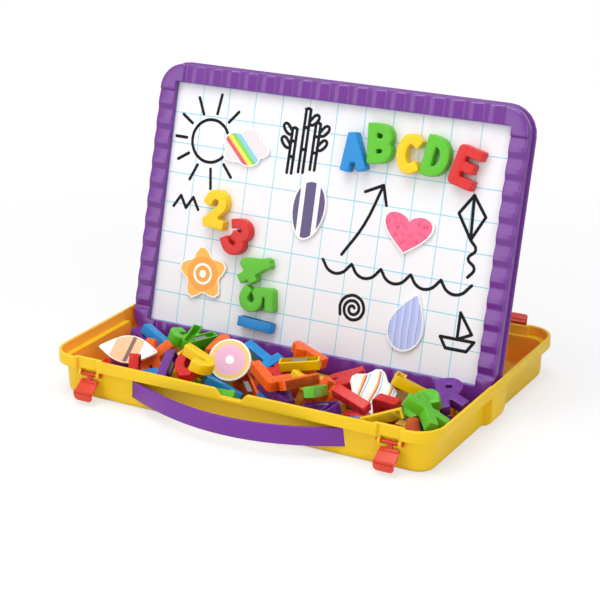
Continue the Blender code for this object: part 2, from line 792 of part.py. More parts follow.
def glyph_shares():
    """Centre lines of plain letters and digits as shares of the width and height."""
    bowl = arc((0.45, 0.74), (0.55, 0.26), 90, -90, 5)
    low_bowl = arc((0.45, 0.25), (0.55, 0.25), 90, -90, 5)
    return {
        "A": [[(0, 0), (0.5, 1), (1, 0)], [(0.2, 0.28), (0.8, 0.28)]],
        "B": [[(0, 0), (0, 1)], [(0, 1)] + bowl + [(0, 0.48)], [(0, 0.5)] + low_bowl + [(0, 0)]],
        "C": [arc((0.55, 0.5), (0.55, 0.5), 55, 305, 9)],
        "D": [[(0, 0), (0, 1)], [(0, 1)] + arc((0.3, 0.5), (0.7, 0.5), 90, -90, 7) + [(0, 0)]],
        "E": [[(1, 1), (0, 1), (0, 0), (1, 0)], [(0, 0.5), (0.75, 0.5)]],
        "F": [[(1, 1), (0, 1), (0, 0)], [(0, 0.5), (0.75, 0.5)]],
        "H": [[(0, 0), (0, 1)], [(1, 0), (1, 1)], [(0, 0.5), (1, 0.5)]],
        "I": [[(0.5, 0), (0.5, 1)]],
        "J": [[(1, 1)] + arc((0.5, 0.3), (0.5, 0.3), 0, -180, 5)],
        "K": [[(0, 0), (0, 1)], [(1.02, 1), (0.12, 0.42)], [(0.36, 0.6), (1.05, 0)]],
        "L": [[(0, 1), (0, 0), (1, 0)]],
        "M": [[(-0.15, 0), (-0.15, 1), (0.5, 0.42), (1.15, 1), (1.15, 0)]],
        "N": [[(0, 0), (0, 1), (1, 0), (1, 1)]],
        "O": [arc((0.5, 0.5), (0.5, 0.5), 80, 280, 8), arc((0.5, 0.5), (0.5, 0.5), -100, 100, 8)],
        "P": [[(0, 0), (0, 1)], [(0, 1)] + bowl + [(0, 0.48)]],
        "R": [[(0, 0), (0, 1)], [(0, 1)] + bowl + [(0, 0.48)], [(0.35, 0.48), (1, 0)]],
        "S": [arc((0.5, 0.74), (0.5, 0.26), 40, 250, 7) + arc((0.5, 0.26), (0.5, 0.26), 70, -140, 7)],
        "T": [[(0, 1), (1, 1)], [(0.5, 1), (0.5, 0)]],
        "U": [[(0, 1)] + arc((0.5, 0.32), (0.5, 0.32), 180, 360, 6) + [(1, 1)]],
        "V": [[(-0.05, 1), (0.5, 0), (1.05, 1)]],
        "X": [[(0, 0), (1, 1)], [(0, 1), (1, 0)]],
        "Y": [[(0, 1), (0.5, 0.45), (1, 1)], [(0.5, 0.5), (0.5, 0)]],
        "Z": [[(0, 1), (1, 1), (0, 0), (1, 0)]],
        "1": [[(0.5, 0), (0.5, 1)], [(0.5, 0.95), (0.15, 0.78)]],
        "2": [arc((0.5, 0.7), (0.5, 0.3), 170, -30, 7) + [(0.05, 0), (1, 0)]],
        "3": [arc((0.45, 0.76), (0.5, 0.24), 150, -90, 6), arc((0.45, 0.26), (0.55, 0.26), 90, -150, 6)],
        "4": [[(0.72, 0), (0.72, 1)], [(0.72, 1), (0, 0.3), (1.05, 0.3)]],
        "G": [arc((0.55, 0.5), (0.55, 0.5), 50, 290, 8) + [(1.02, 0.42), (0.66, 0.42)]],
        "5": [[(0.95, 1), (0.1, 1), (0.06, 0.52)] + arc((0.45, 0.3), (0.55, 0.3), 100, -145, 7)],
        "7": [[(0, 1), (1, 1), (0.4, 0)]],
    }


def glyph_lines(shares):
    """A glyph's centre lines in metres about its middle."""
    wide = LETTER_WIDTH - STROKE
    tall = LETTER_HEIGHT - STROKE
    return [[((x - 0.5) * wide, (y - 0.5) * tall) for x, y in line] for line in shares]


def letter_mesh(shares):
    """A letter with its face up at z = LETTER_DEPTH, open and hollow from behind."""
    lines = glyph_lines(shares)
    half = STROKE / 2
    hollow = half - LETTER_WALL
    solids = [prisms([(stroke_outline(line, half), 0, LETTER_DEPTH)]) for line in lines]
    body = combine(solids[0], joined=solids[1:])
    voids = [prisms([(stroke_outline(line, hollow), -OVERRUN, LETTER_DEPTH - LETTER_FACE)]) for line in lines]
    void = combine(voids[0], joined=voids[1:])
    return combine(body, cut=(void,))


def magnet_mesh():
    return prisms([(circle(MAGNET_RADIUS), 0, MAGNET_DEPTH)])


def magnet_place(glyph):
    """Where a letter's magnet stands in its hollow: half way along the first stroke's middle."""
    line = glyph_lines(glyph_shares()[glyph])[0]
    middle = len(line) // 2
    spot = (Vector(line[middle - 1]) + Vector(line[middle])) / 2
    return Matrix.Translation((spot.x, spot.y, 0))


def card_shares(shape, angle):
    """A point of a printed piece's outline, as shares of its half width and half height."""
    across = math.cos(angle)
    up = math.sin(angle)
    if shape == "heart":
        return 0.98 * up ** 3, 0.78 * across - 0.3 * math.cos(2 * angle) - 0.12 * math.cos(3 * angle) + 0.12
    if shape == "balloon":
        return across * (0.9 + 0.1 * up), up
    if shape == "drop":
        return across * (1 - 0.72 * ((1 + up) / 2) ** 2), up
    if shape == "leaf":
        return across, up * (1 - 0.7 * across * across)
    radius = {
        "star": 0.84 + 0.16 * math.cos(5 * (angle - math.pi / 2)),
        "flower": 0.88 + 0.12 * math.cos(5 * angle),
        "cloud": 0.78 + 0.22 * abs(math.cos(2.5 * angle)),
        "disc": 1.0,
    }[shape]
    flatten = 0.7 if shape == "cloud" and up < 0 else 1.0
    return radius * across, radius * up * flatten


def card_outline(shape):
    """Outline of a flat printed piece about its middle."""
    half_wide, half_tall = CARD_HALF_SIZES[shape]
    points = []
    for i in range(CARD_STEPS):
        across, up = card_shares(shape, 2 * math.pi * i / CARD_STEPS)
        points.append((across * half_wide, up * half_tall))
    return points


def card_mesh(shape):
    return prisms([(card_outline(shape), 0, CARD_THICK)])


# Board places as shares of the board's width and height, and turns in degrees
BOARD_LETTER_SHARES = (
    ("A", "blue", 0.572, 0.822, 9),
    ("B", "green", 0.648, 0.865, 5),
    ("C", "lemon", 0.734, 0.842, -2),
    ("D", "green", 0.812, 0.843, -9),
    ("E", "red", 0.896, 0.822, -14),
    ("2", "lemon", 0.178, 0.505, -4),
    ("3", "red", 0.256, 0.405, -26),
    ("4", "green", 0.318, 0.295, -55),
    ("5", "green", 0.341, 0.168, -82),
    ("I", "blue", 0.346, 0.066, -93),
)
BOARD_CARD_SHARES = (
    ("cloud", 0.239, 0.758, 4),
    ("balloon", 0.454, 0.560, -6),
    ("heart", 0.750, 0.532, -4),
    ("star", 0.154, 0.228, 8),
    ("drop", 0.785, 0.190, -14),
)


def build_board_pieces(lid, letters):
    """Letters and flat magnets on the board's face."""
    for glyph, colour, across, up, turn in BOARD_LETTER_SHARES:
        at = Vector(((2 * across - 1) * BOARD_X, up * BOARD_S, CLEAR))
        place = Matrix.Translation(at) @ Matrix.Rotation(math.radians(turn), 4, "Z")
        surface = letter_material(colour)
        add_object("board_letter_" + glyph, letters[glyph], surface, lid, place)
    for shape, across, up, turn in BOARD_CARD_SHARES:
        at = Vector(((2 * across - 1) * BOARD_X, up * BOARD_S, CLEAR))
        place = Matrix.Translation(at) @ Matrix.Rotation(math.radians(turn), 4, "Z")
        add_object("board_card_" + shape, card_mesh(shape), card_material(), lid, place)


# Loose pieces in the tray, in the order in which they fell: the piece, its colour, its place as
# shares of the tray's inner half sizes, then yaw, pitch and roll in degrees
PILE_SHARES = (
    ("H", "red", -0.88, -0.62, 20, 0, 0),
    ("E", "blue", -0.66, -0.31, -35, 0, 0),
    ("L", "green", -0.44, -0.66, 60, 0, 0),
    ("X", "orange", -0.20, -0.30, 15, 0, 0),
    ("N", "violet", 0.04, -0.62, -20, 0, 0),
    ("F", "lemon", 0.26, -0.29, 75, 0, 0),
    ("Z", "red", 0.48, -0.62, 10, 0, 0),
    ("T", "blue", 0.72, -0.30, 40, 0, 0),
    ("V", "violet", 0.87, -0.64, 100, 0, 0),
    ("K", "orange", -0.66, -0.53, 6, 60, 8),
    ("E", "red", 0.66, -0.60, -8, 100, 0),
    ("A", "violet", 0.86, -0.40, -25, 160, 12),
    ("M", "lemon", -0.48, -0.62, -65, 34, 12),
    ("H", "orange", 0.30, -0.58, -52, 48, 22),
    ("V", "red", 0.06, -0.40, 30, 35, -18),
    ("Y", "blue", -0.22, -0.64, 100, 24, 20),
    ("L", "lemon", -0.22, -0.26, 130, 28, -14),
    ("N", "red", 0.32, -0.26, -80, 22, 12),
    ("disc", "card", -0.23, -0.53, 22, 55, 0),
    ("leaf", "card", -0.78, -0.64, 14, 40, 0),
    ("flower", "card", 0.50, -0.40, 18, 54, 0),
    ("Z", "green", -0.43, -0.29, 20, 22, 14),
    ("I", "red", -0.67, -0.80, 20, 62, 0),
    ("X", "green", 0.90, -0.74, 70, 28, 14),
    ("7", "blue", 0.45, -0.87, 80, 14, 8),
    ("P", "violet", -0.83, -0.22, 70, 16, 8),
    ("U", "blue", 0.13, -0.74, 70, 20, 12),
    ("R", "violet", 0.87, -0.25, 35, 20, -8),
    ("S", "green", -0.62, -0.21, 95, 20, 8),
    ("O", "red", -0.36, -0.76, 20, 22, -10),
    ("J", "lemon", -0.28, -0.85, 84, 18, 6),
    ("1", "orange", 0.10, -0.22, 80, 14, 6),
    ("G", "green", 0.80, -0.50, -30, 26, 12),
)


def edge_samples(mesh, matrix):
    """Points at a small spacing along every edge of a mesh."""
    corners = [matrix @ vertex.co for vertex in mesh.vertices]
    points = list(corners)
    for edge in mesh.edges:
        start = corners[edge.vertices[0]]
        end = corners[edge.vertices[1]]
        count = int((end - start).length / SAMPLE)
        points += [start.lerp(end, i / (count + 1)) for i in range(1, count + 1)]
    return points


def surface_tree(mesh, matrix):
    corners = [matrix @ vertex.co for vertex in mesh.vertices]
    return BVHTree.FromPolygons(corners, [tuple(face.vertices) for face in mesh.polygons])


class Heap:
    """What lies in the tray so far, for lowering the next piece onto it."""

    def __init__(self):
        self.trees = []
        self.points = []

    def add(self, mesh, matrix):
        self.trees.append(surface_tree(mesh, matrix))
        self.points += edge_samples(mesh, matrix)

    def lower(self, mesh, matrix):
        """The matrix of a piece lowered from above until it all but touches."""
        tree = surface_tree(mesh, matrix)
        own = edge_samples(mesh, matrix)
        low_x = min(p.x for p in own)
        high_x = max(p.x for p in own)
        low_y = min(p.y for p in own)
        high_y = max(p.y for p in own)
        down = Vector((0, 0, -1))
        fall = min(p.z for p in own) - FLOOR
        for point in own:
            for other in self.trees:
                hit = other.ray_cast(point, down)
                if hit[0] is not None:
                    fall = min(fall, hit[3])
        for point in self.points:
            if low_x < point.x < high_x and low_y < point.y < high_y:
                hit = tree.ray_cast(point, -down)
                if hit[0] is not None:
                    fall = min(fall, hit[3])
        return Matrix.Translation((0, 0, CLEAR - fall)) @ matrix


def build_pile(letters, tray):
    """Letters and cards that fell one by one into the front of the tray."""
    heap = Heap()
    heap.add(tray.data, tray.matrix_world)
    half_x = TRAY_HALF_X - LEDGE_REACH
    half_y = TRAY_HALF_Y - LEDGE_REACH
    middle = Matrix.Translation((0, 0, -LETTER_DEPTH / 2))
    dark = material("ferrite", (0.06, 0.06, 0.065), 0.5)
    number = 0
    for kind, colour, x, y, yaw, pitch, roll in PILE_SHARES:
        flat = colour == "card"
        number += 0 if flat else 1
        mesh = card_mesh(kind) if flat else letters[kind]
        name = "pile_card_" + kind if flat else "pile_letter_%02d_%s" % (number, kind)
        turn = Matrix.Rotation(math.radians(yaw), 4, "Z") @ Matrix.Rotation(math.radians(pitch), 4, "X")
        turn = turn @ Matrix.Rotation(math.radians(roll), 4, "Y")
        start = Matrix.Translation((x * half_x, y * half_y, DROP_HEIGHT)) @ turn @ middle
        placed = heap.lower(mesh, start)
        surface = card_material() if flat else letter_material(colour)
        obj = add_object(name, mesh, surface, matrix=placed)
        heap.add(obj.data, placed)
        if not flat and pitch > 90:
            add_object("pile_magnet_%02d_%s" % (number, kind), magnet_mesh(), dark,
                       matrix=placed @ magnet_place(kind))


def main():
    reset_scene()
    tray = build_tray()
    build_handle()
    for name, side_x, side_y in LATCH_SIDES:
        build_latch(name, side_x, side_y)
    lid = build_lid()
    letters = {glyph: letter_mesh(shares) for glyph, shares in glyph_shares().items()}
    build_board_pieces(lid, letters)
    bpy.context.view_layer.update()
    build_pile(letters, tray)


main()
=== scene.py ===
# %% [markdown]
# Magnetic letter board case
#
# The real thing is a carry case for a child's letters. A yellow moulded tray lies on the ground,
# full of loose letters. Its purple lid is turned round, stands in two grooves of the tray and
# leans back, so that its white magnetic board faces the player.
#
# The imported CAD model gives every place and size. This lesson dresses it: it makes the soft
# edges, the ribs, the prints and the finishes that plain solids don't have. A new Blender file
# may hold a cube, a lamp and a camera, which go first.

# %% Load the frame
import json
import math
import random

import bmesh
import bpy
from mathutils import Euler, Matrix, Vector
from mathutils.bvhtree import BVHTree

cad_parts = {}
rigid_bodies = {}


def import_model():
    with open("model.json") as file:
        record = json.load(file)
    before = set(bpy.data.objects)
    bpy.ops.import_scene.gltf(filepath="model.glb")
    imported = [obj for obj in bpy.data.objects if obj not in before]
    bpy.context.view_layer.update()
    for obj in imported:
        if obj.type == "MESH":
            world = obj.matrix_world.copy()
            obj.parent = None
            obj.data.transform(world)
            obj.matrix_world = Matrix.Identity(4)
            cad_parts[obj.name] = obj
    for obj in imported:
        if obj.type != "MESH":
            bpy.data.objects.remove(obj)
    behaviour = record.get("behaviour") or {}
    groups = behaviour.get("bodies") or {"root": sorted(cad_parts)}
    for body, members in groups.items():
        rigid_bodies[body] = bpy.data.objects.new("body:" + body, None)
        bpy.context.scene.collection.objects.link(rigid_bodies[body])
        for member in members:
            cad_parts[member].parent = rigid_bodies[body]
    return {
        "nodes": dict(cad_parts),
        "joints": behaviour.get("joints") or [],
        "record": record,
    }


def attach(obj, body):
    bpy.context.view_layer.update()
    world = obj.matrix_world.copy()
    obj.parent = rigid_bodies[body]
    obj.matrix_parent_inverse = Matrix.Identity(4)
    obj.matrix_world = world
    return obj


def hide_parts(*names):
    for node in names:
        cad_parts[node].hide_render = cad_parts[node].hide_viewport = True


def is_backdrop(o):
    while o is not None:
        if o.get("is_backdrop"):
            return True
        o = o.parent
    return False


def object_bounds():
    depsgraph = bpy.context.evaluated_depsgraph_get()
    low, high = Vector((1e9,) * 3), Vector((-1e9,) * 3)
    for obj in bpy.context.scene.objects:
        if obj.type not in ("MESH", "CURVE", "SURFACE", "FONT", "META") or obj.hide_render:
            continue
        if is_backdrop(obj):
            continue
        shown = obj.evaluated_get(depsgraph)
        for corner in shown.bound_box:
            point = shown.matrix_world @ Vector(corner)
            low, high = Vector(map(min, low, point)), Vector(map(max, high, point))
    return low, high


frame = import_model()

nodes = frame["nodes"]
for leftover in [o for o in bpy.data.objects if o.type != "EMPTY" and o not in nodes.values()]:
    bpy.data.objects.remove(leftover)
bpy.context.view_layer.update()

# %% [markdown]
# Sizes are written in millimetres and turned into metres by one value. The board has its own
# frame: across, up the board and out of its face. The record's two slide axes give the last two,
# and the board's own node gives the origin, at the middle of the board's lower edge.

# %% Millimetres and the board's frame
MM = 0.001
BOARD_LIP = 2.9 * MM
CELL = 25 * MM
COLUMNS = 12
ROWS = 8
joint_axes = {joint["name"]: Vector(joint["axis"]) for joint in frame["joints"]}
board_up = joint_axes["lid_lift"].normalized()
board_out = joint_axes["board_pieces_pull"].normalized()
face_points = [v.co for v in nodes["board_face"].data.vertices]
lower_edge = min(p.dot(board_up) for p in face_points) + BOARD_LIP
front_face = max(p.dot(board_out) for p in face_points)
board_origin = board_up * lower_edge + board_out * front_face
board_frame = Matrix((
    (1, board_up.x, board_out.x, board_origin.x),
    (0, board_up.y, board_out.y, board_origin.y),
    (0, board_up.z, board_out.z, board_origin.z),
    (0, 0, 0, 1),
))
board_half = COLUMNS * CELL / 2
board_tall = ROWS * CELL
lean = math.degrees(math.asin(board_up.y))
print("board leans back by", round(lean, 2), "degrees")

# %% [markdown]
# Colours are picked as sRGB hex values, the way that a paint chart or a photo editor shows them.
# Blender's shaders want linear light, so one function converts them. The other small functions
# add nodes with their settings and links, which keeps each material short.

# %% Colour and node helpers


def linear(hex_colour):
    """A hex sRGB colour as linear red, green, blue and alpha."""
    channels = [int(hex_colour[i:i + 2], 16) / 255 for i in (0, 2, 4)]
    return (*[c / 12.92 if c <= 0.04045 else ((c + 0.055) / 1.055) ** 2.4 for c in channels], 1)


def set_inputs(node, inputs):
    """Sets a node's inputs, each to a value or to another node's output."""
    for name, value in inputs.items():
        if isinstance(value, bpy.types.NodeSocket):
            node.id_data.links.new(value, node.inputs[name])
        else:
            node.inputs[name].default_value = value


def add_node(tree, kind, inputs=None, **settings):
    """A new node with its settings and its inputs."""
    node = tree.nodes.new(kind)
    for name, value in settings.items():
        setattr(node, name, value)
    set_inputs(node, inputs or {})
    return node


def new_material(name, coordinates="Object"):
    """A named material, its tree, its Principled shader and the place its patterns read."""
    made = bpy.data.materials.new(name)
    made.use_nodes = True
    tree = made.node_tree
    place = add_node(tree, "ShaderNodeTexCoord").outputs[coordinates]
    return made, tree, tree.nodes["Principled BSDF"], place


def noise(tree, place, size, detail=2):
    """Soft noise whose patches have a size in metres."""
    return add_node(tree, "ShaderNodeTexNoise", {
        "Vector": place, "Scale": 1 / size, "Detail": detail}).outputs[0]


def mix(tree, share, first, second):
    """Two colours mixed."""
    return add_node(tree, "ShaderNodeMix", {0: share, 6: first, 7: second}, data_type="RGBA").outputs[2]


def reckon(tree, operation, *values):
    """The result of a Math node."""
    return add_node(tree, "ShaderNodeMath", dict(enumerate(values)), operation=operation).outputs[0]


# %% [markdown]
# Tray, lid and handle are injection-moulded polypropylene. It leaves the mould with a satin
# skin: a soft wide highlight, a very fine grain, and slow changes of shade where the melt
# flowed. The grain is drawn at 0.9 mm, coarser than the real one, so that it shows. Scuffs of
# a few millimetres make the gloss wander. The lid's mould is polished more than the tray's.
# Light goes into the yellow plastic and comes out again close by, red light furthest.

# %% Satin moulded polypropylene
GRAIN = 0.9 * MM
FLOW = 45 * MM
SCUFF = 7 * MM
SMOOTHER = 0.03
ROUGHER = 0.04
PLASTIC_IOR = 1.49
GLOW_BY_CHANNEL = (1.0, 0.5, 0.2)


def moulded_plastic(name, colour, deep, roughness, grain_depth=0.012 * MM, shine=0.5,
                    glow=0.0, glow_depth=2 * MM):
    """Moulded plastic with fine grain, slow shade changes and faint scuffs."""
    made, tree, shader, place = new_material(name)
    gloss = add_node(tree, "ShaderNodeMapRange", {
        "Value": noise(tree, place, SCUFF, 4), "From Min": 0.3, "From Max": 0.7,
        "To Min": roughness - SMOOTHER, "To Max": roughness + ROUGHER})
    bump = add_node(tree, "ShaderNodeBump", {
        "Height": noise(tree, place, GRAIN, 3), "Strength": 0.6, "Distance": grain_depth})
    set_inputs(shader, {
        "Base Color": mix(tree, noise(tree, place, FLOW), linear(colour), linear(deep)),
        "Roughness": gloss.outputs[0], "Normal": bump.outputs[0], "IOR": PLASTIC_IOR,
        "Specular IOR Level": shine})
    if glow:
        set_inputs(shader, {"Subsurface Weight": glow, "Subsurface Scale": glow_depth,
                            "Subsurface Radius": GLOW_BY_CHANNEL})
    return made


tray_plastic = moulded_plastic(
    "yellow moulded polypropylene", "ECC610", "E6BE0C", 0.4, shine=0.3, glow=0.25)
# Painted bounce light: a warmer orange copy of the tray plastic for the faces inside the tray, standing
# in for light bounced about in the yellow box.
tray_plastic_painted_bounce = moulded_plastic(
    "shaded yellow polypropylene", "FFB43C", "FCA834", 0.42, shine=0.3, glow=0.9, glow_depth=6 * MM)
lid_plastic = moulded_plastic(
    "purple moulded polypropylene", "6F2E8E", "692A88", 0.2, grain_depth=0.004 * MM)
strap_plastic = moulded_plastic(
    "purple strap polypropylene", "722096", "6C1D90", 0.36, grain_depth=0.006 * MM)
print("case plastics", [m.name for m in (tray_plastic, tray_plastic_painted_bounce, lid_plastic, strap_plastic)])

# %% [markdown]
# The letters are glossy polystyrene, harder and shinier than the tray. Their six colours are
# the toy's whole palette, so they sit in one table. A polished mould leaves hardly any grain.

# %% Glossy moulded polystyrene for the letters
LETTER_COLOURS = {
    "red": ("D22622", "C61E1A"),
    "green": ("5CBC24", "52B01E"),
    "blue": ("1C8AD0", "167FC4"),
    "orange": ("EA6418", "E25A12"),
    "lemon": ("EEC806", "E8BE02"),
    "violet": ("6C3292", "642C8A"),
}
letter_plastics = {
    colour: moulded_plastic(
        colour + " moulded polystyrene", top, deep, 0.27, grain_depth=0.001 * MM, shine=0.3)
    for colour, (top, deep) in LETTER_COLOURS.items()
}
print("letter colours", sorted(letter_plastics))

# %% [markdown]
# The latches are a softer, half-clear orange-red plastic. Light goes in and comes out again, so
# thin parts glow. Light scattered under the skin gives most of that, and some transmission
# through a satin surface the rest.

# %% Half-clear latch plastic
LATCH_CLEARNESS = 0.22
latch_plastic = moulded_plastic(
    "half-clear red polypropylene", "E84420", "E03C1C", 0.4, grain_depth=0.006 * MM, glow=0.3)
set_inputs(latch_plastic.node_tree.nodes["Principled BSDF"], {"Transmission Weight": LATCH_CLEARNESS})
print("latch plastic", latch_plastic.name)

# %% [markdown]
# The board is a steel sheet under a satin white printed film. Its print is a light blue grid of
# 25 mm squares. The grid is worked out from the place on the board: a Mapping node lays the
# board flat, and a little arithmetic marks each point that is near a whole number of squares.
# The lines on the film are 0.55 mm wide. They are drawn 0.7 mm wide, so that they show, with
# soft edges, so that they don't flicker between pixels.

# %% Printed board film
LINE = 0.7 * MM
LINE_CORE = 0.42
LINE_EDGE = 0.62
LINE_STRENGTH = 0.95
WIPED = 60 * MM
film, tree, shader, place = new_material("white printed film")
on_board = add_node(tree, "ShaderNodeMapping", {
    "Vector": place, "Location": board_origin, "Rotation": board_frame.to_euler()},
    vector_type="TEXTURE")
squares = add_node(tree, "ShaderNodeVectorMath", {0: on_board.outputs[0], 1: (1 / CELL, 1 / CELL, 0)},
                   operation="MULTIPLY")
split = add_node(tree, "ShaderNodeSeparateXYZ", {0: squares.outputs[0]})
near = []
for axis in (0, 1):
    away = reckon(tree, "PINGPONG", split.outputs[axis], 1.0)
    from_half = reckon(tree, "ABSOLUTE", reckon(tree, "SUBTRACT", 0.5, away))
    near.append(reckon(tree, "SUBTRACT", 0.5, from_half))
line = add_node(tree, "ShaderNodeMapRange", {
    "Value": reckon(tree, "MINIMUM", *near), "From Min": LINE / CELL * LINE_CORE,
    "From Max": LINE / CELL * LINE_EDGE, "To Min": LINE_STRENGTH, "To Max": 0.0})
wear = noise(tree, place, WIPED, 3)
white = mix(tree, wear, linear("ECECEF"), linear("E7E7EB"))
smear = add_node(tree, "ShaderNodeMapRange", {"Value": wear, "To Min": 0.5, "To Max": 0.62})
set_inputs(shader, {
    "Base Color": mix(tree, line.outputs[0], white, linear("74C8DE")),
    "Roughness": smear.outputs[0], "Specular IOR Level": 0.2})
print("film grid", COLUMNS, "by", ROWS, "squares, nodes", len(tree.nodes))

# %% [markdown]
# Three smaller finishes: rolled steel behind the film, grey ferrite in the backs of the letters,
# and the black ink of a dry-wipe marker. Steel gets fine brushed streaks by stretching a noise,
# ferrite gets a grit of 0.4 mm, and the ink is a little thinner in patches along a stroke.

# %% Steel, ferrite and marker ink
STREAK = 0.8 * MM
STRETCHED = (0.02, 1, 1)
GRIT = 0.4 * MM
GRIT_DEPTH = 0.05 * MM
INK_PATCH = 6 * MM
steel, tree, shader, place = new_material("rolled steel sheet")
long_way = add_node(tree, "ShaderNodeMapping", {"Vector": place, "Scale": STRETCHED})
streak = noise(tree, long_way.outputs[0], STREAK)
set_inputs(shader, {"Base Color": mix(tree, streak, linear("A6A8AC"), linear("BCBEC2")),
                    "Metallic": 1.0, "Roughness": 0.35})

ferrite, tree, shader, place = new_material("sintered ferrite")
grit = noise(tree, place, GRIT)
bump = add_node(tree, "ShaderNodeBump", {"Height": grit, "Strength": 0.5, "Distance": GRIT_DEPTH})
set_inputs(shader, {"Base Color": mix(tree, grit, linear("8E8E92"), linear("6C6C72")),
                    "Normal": bump.outputs[0], "Roughness": 0.5})

ink, tree, shader, place = new_material("black marker ink")
thinner = noise(tree, place, INK_PATCH, 3)
set_inputs(shader, {"Base Color": mix(tree, thinner, linear("0C0C10"), linear("18181E")),
                    "Roughness": 0.7, "Specular IOR Level": 0.2})
print("small finishes", [m.name for m in (steel, ferrite, ink)])

# %% [markdown]
# The flat magnets are printed card on magnet sheet, die-cut with a white border. Each print here
# is a plain pattern. It reads the piece's own UV map, laid out in radii from its middle, so it
# turns and tips with the piece. A Wave or a Voronoi texture gives the pattern, and a colour ramp
# with hard steps gives the inks. A Wave texture repeats every pi / 10 units. The scale WHOLE
# stretches that to 2 radii, so that one repeat of bands spans a print from edge to edge, and
# rings show the first half of a repeat.

# %% Die-cut card and its prints
FIBRE = 1.5 * MM
WHOLE = math.pi / 20
card_white, tree, shader, place = new_material("white die-cut card")
fibres = noise(tree, place, FIBRE, 4)
set_inputs(shader, {"Base Color": mix(tree, fibres, linear("F4F2F0"), linear("ECEAE8")),
                    "Roughness": 0.4})


def printed_card(name, pattern, inks, scale=WHOLE, distortion=0.0, direction="X"):
    """A glossy print whose inks step with a pattern, each ink given with where it starts."""
    made, tree, shader, place = new_material(name, "UV")
    if pattern == "DOTS":
        field = add_node(tree, "ShaderNodeTexVoronoi", {"Vector": place, "Scale": scale}).outputs[0]
    else:
        phase = math.pi if pattern == "BANDS" else 0
        field = add_node(tree, "ShaderNodeTexWave", {
            "Vector": place, "Scale": scale, "Distortion": distortion, "Detail": 1.0,
            "Phase Offset": phase}, wave_type=pattern, bands_direction=direction,
            rings_direction="Z", wave_profile="SAW").outputs[0]
    ramp = add_node(tree, "ShaderNodeValToRGB", {"Fac": field})
    ramp.color_ramp.interpolation = "CONSTANT"
    steps = ramp.color_ramp.elements
    for start, _ in inks[len(steps):]:
        steps.new(start)
    for step, (start, colour) in zip(steps, inks):
        step.position = start
        step.color = linear(colour)
    set_inputs(shader, {"Base Color": ramp.outputs[0], "Roughness": 0.33})
    return made


prints = {
    "board_card_cloud": printed_card("rainbow stripe print", "BANDS", (
        (0.0, "DDD6DA"), (0.3, "D84A58"), (0.37, "F4D83C"), (0.44, "7CC848"), (0.51, "7CC4E0"),
        (0.58, "DDD6DA")), direction="DIAGONAL"),
    "board_card_balloon": printed_card("violet panel print", "BANDS", (
        (0.0, "4C3A6E"), (0.24, "F0EEF4"), (0.36, "4C3A6E"), (0.64, "F0EEF4"), (0.76, "4C3A6E"))),
    "board_card_heart": printed_card("pink seed print", "DOTS", (
        (0.0, "5A2A34"), (0.13, "E84C78"), (0.5, "EC5A84")), scale=3.6),
    "board_card_star": printed_card("orange ring print", "RINGS", (
        (0.0, "F8F4EC"), (0.09, "EE9A24"), (0.2, "F8F4EC"), (0.26, "EE9A24"), (0.42, "F2B040"))),
    "board_card_drop": printed_card("pale blue vein print", "BANDS", (
        (0.0, "A9B4E4"), (0.5, "B9C3EC"), (0.92, "7080C4")), scale=0.9, distortion=1.5),
    "pile_card_disc": printed_card("pink ring print", "RINGS", (
        (0.0, "FFFFFF"), (0.1, "F0BCD8"), (0.37, "F4D470"))),
    "pile_card_leaf": printed_card("peach band print", "BANDS", (
        (0.0, "F6F2EC"), (0.12, "F2B888"), (0.5, "6A4438"), (0.6, "F2B888"), (0.82, "F6F2EC"))),
    "pile_card_flower": printed_card("bright swirl print", "BANDS", (
        (0.0, "FFFFFF"), (0.6, "F4CC48"), (0.72, "D8407C"), (0.82, "FFFFFF"), (0.92, "7CC8D8")),
        scale=0.5, distortion=3.0),
}
print("card prints", len(prints))

# %% [markdown]
# Every moulded edge has a small radius, which catches a thin line of light. The CAD solids have
# sharp edges, so each is copied, merged and bevelled. The next helpers do that, and put the new
# piece on its body in place of the solid.

# %% Copy, soften and finish helpers
MERGE = 0.01 * MM
SAME_PLANE = math.radians(1.0)


def solid_of(name):
    """A CAD node's solid as a clean bmesh with whole faces instead of triangles."""
    bm = bmesh.new()
    bm.from_mesh(nodes[name].data)
    bmesh.ops.remove_doubles(bm, verts=bm.verts, dist=MERGE)
    bmesh.ops.dissolve_limit(bm, angle_limit=SAME_PLANE, verts=bm.verts, edges=bm.edges)
    return bm


def softened(name, width, segments, least_turn=40, shortest=0.0):
    """A solid with a bevel on the edges that turn by more than an angle and aren't very short."""
    bm = solid_of(name)
    sharp = [e for e in bm.edges if e.is_manifold and e.calc_length() > shortest
             and abs(e.calc_face_angle_signed()) > math.radians(least_turn)]
    bmesh.ops.bevel(bm, geom=sharp, offset=width, offset_type="OFFSET", affect="EDGES",
                    segments=segments, profile=0.5, material=-1, clamp_overlap=True)
    return bm


def put_in_scene(name, data):
    """A new object with its data, in the scene."""
    thing = bpy.data.objects.new(name, data)
    bpy.context.scene.collection.objects.link(thing)
    return thing


def finish_piece(name, bm, surfaces, body, stands_for=(), smooth_to=40):
    """Turns a bmesh into a shown object that rides on a body."""
    mesh = bpy.data.meshes.new(name)
    bm.to_mesh(mesh)
    bm.free()
    for surface in surfaces:
        mesh.materials.append(surface)
    mesh.shade_smooth()
    mesh.set_sharp_from_angle(angle=math.radians(smooth_to))
    piece = put_in_scene(name, mesh)
    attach(piece, body)
    if stands_for:
        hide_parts(*stands_for)
    return piece
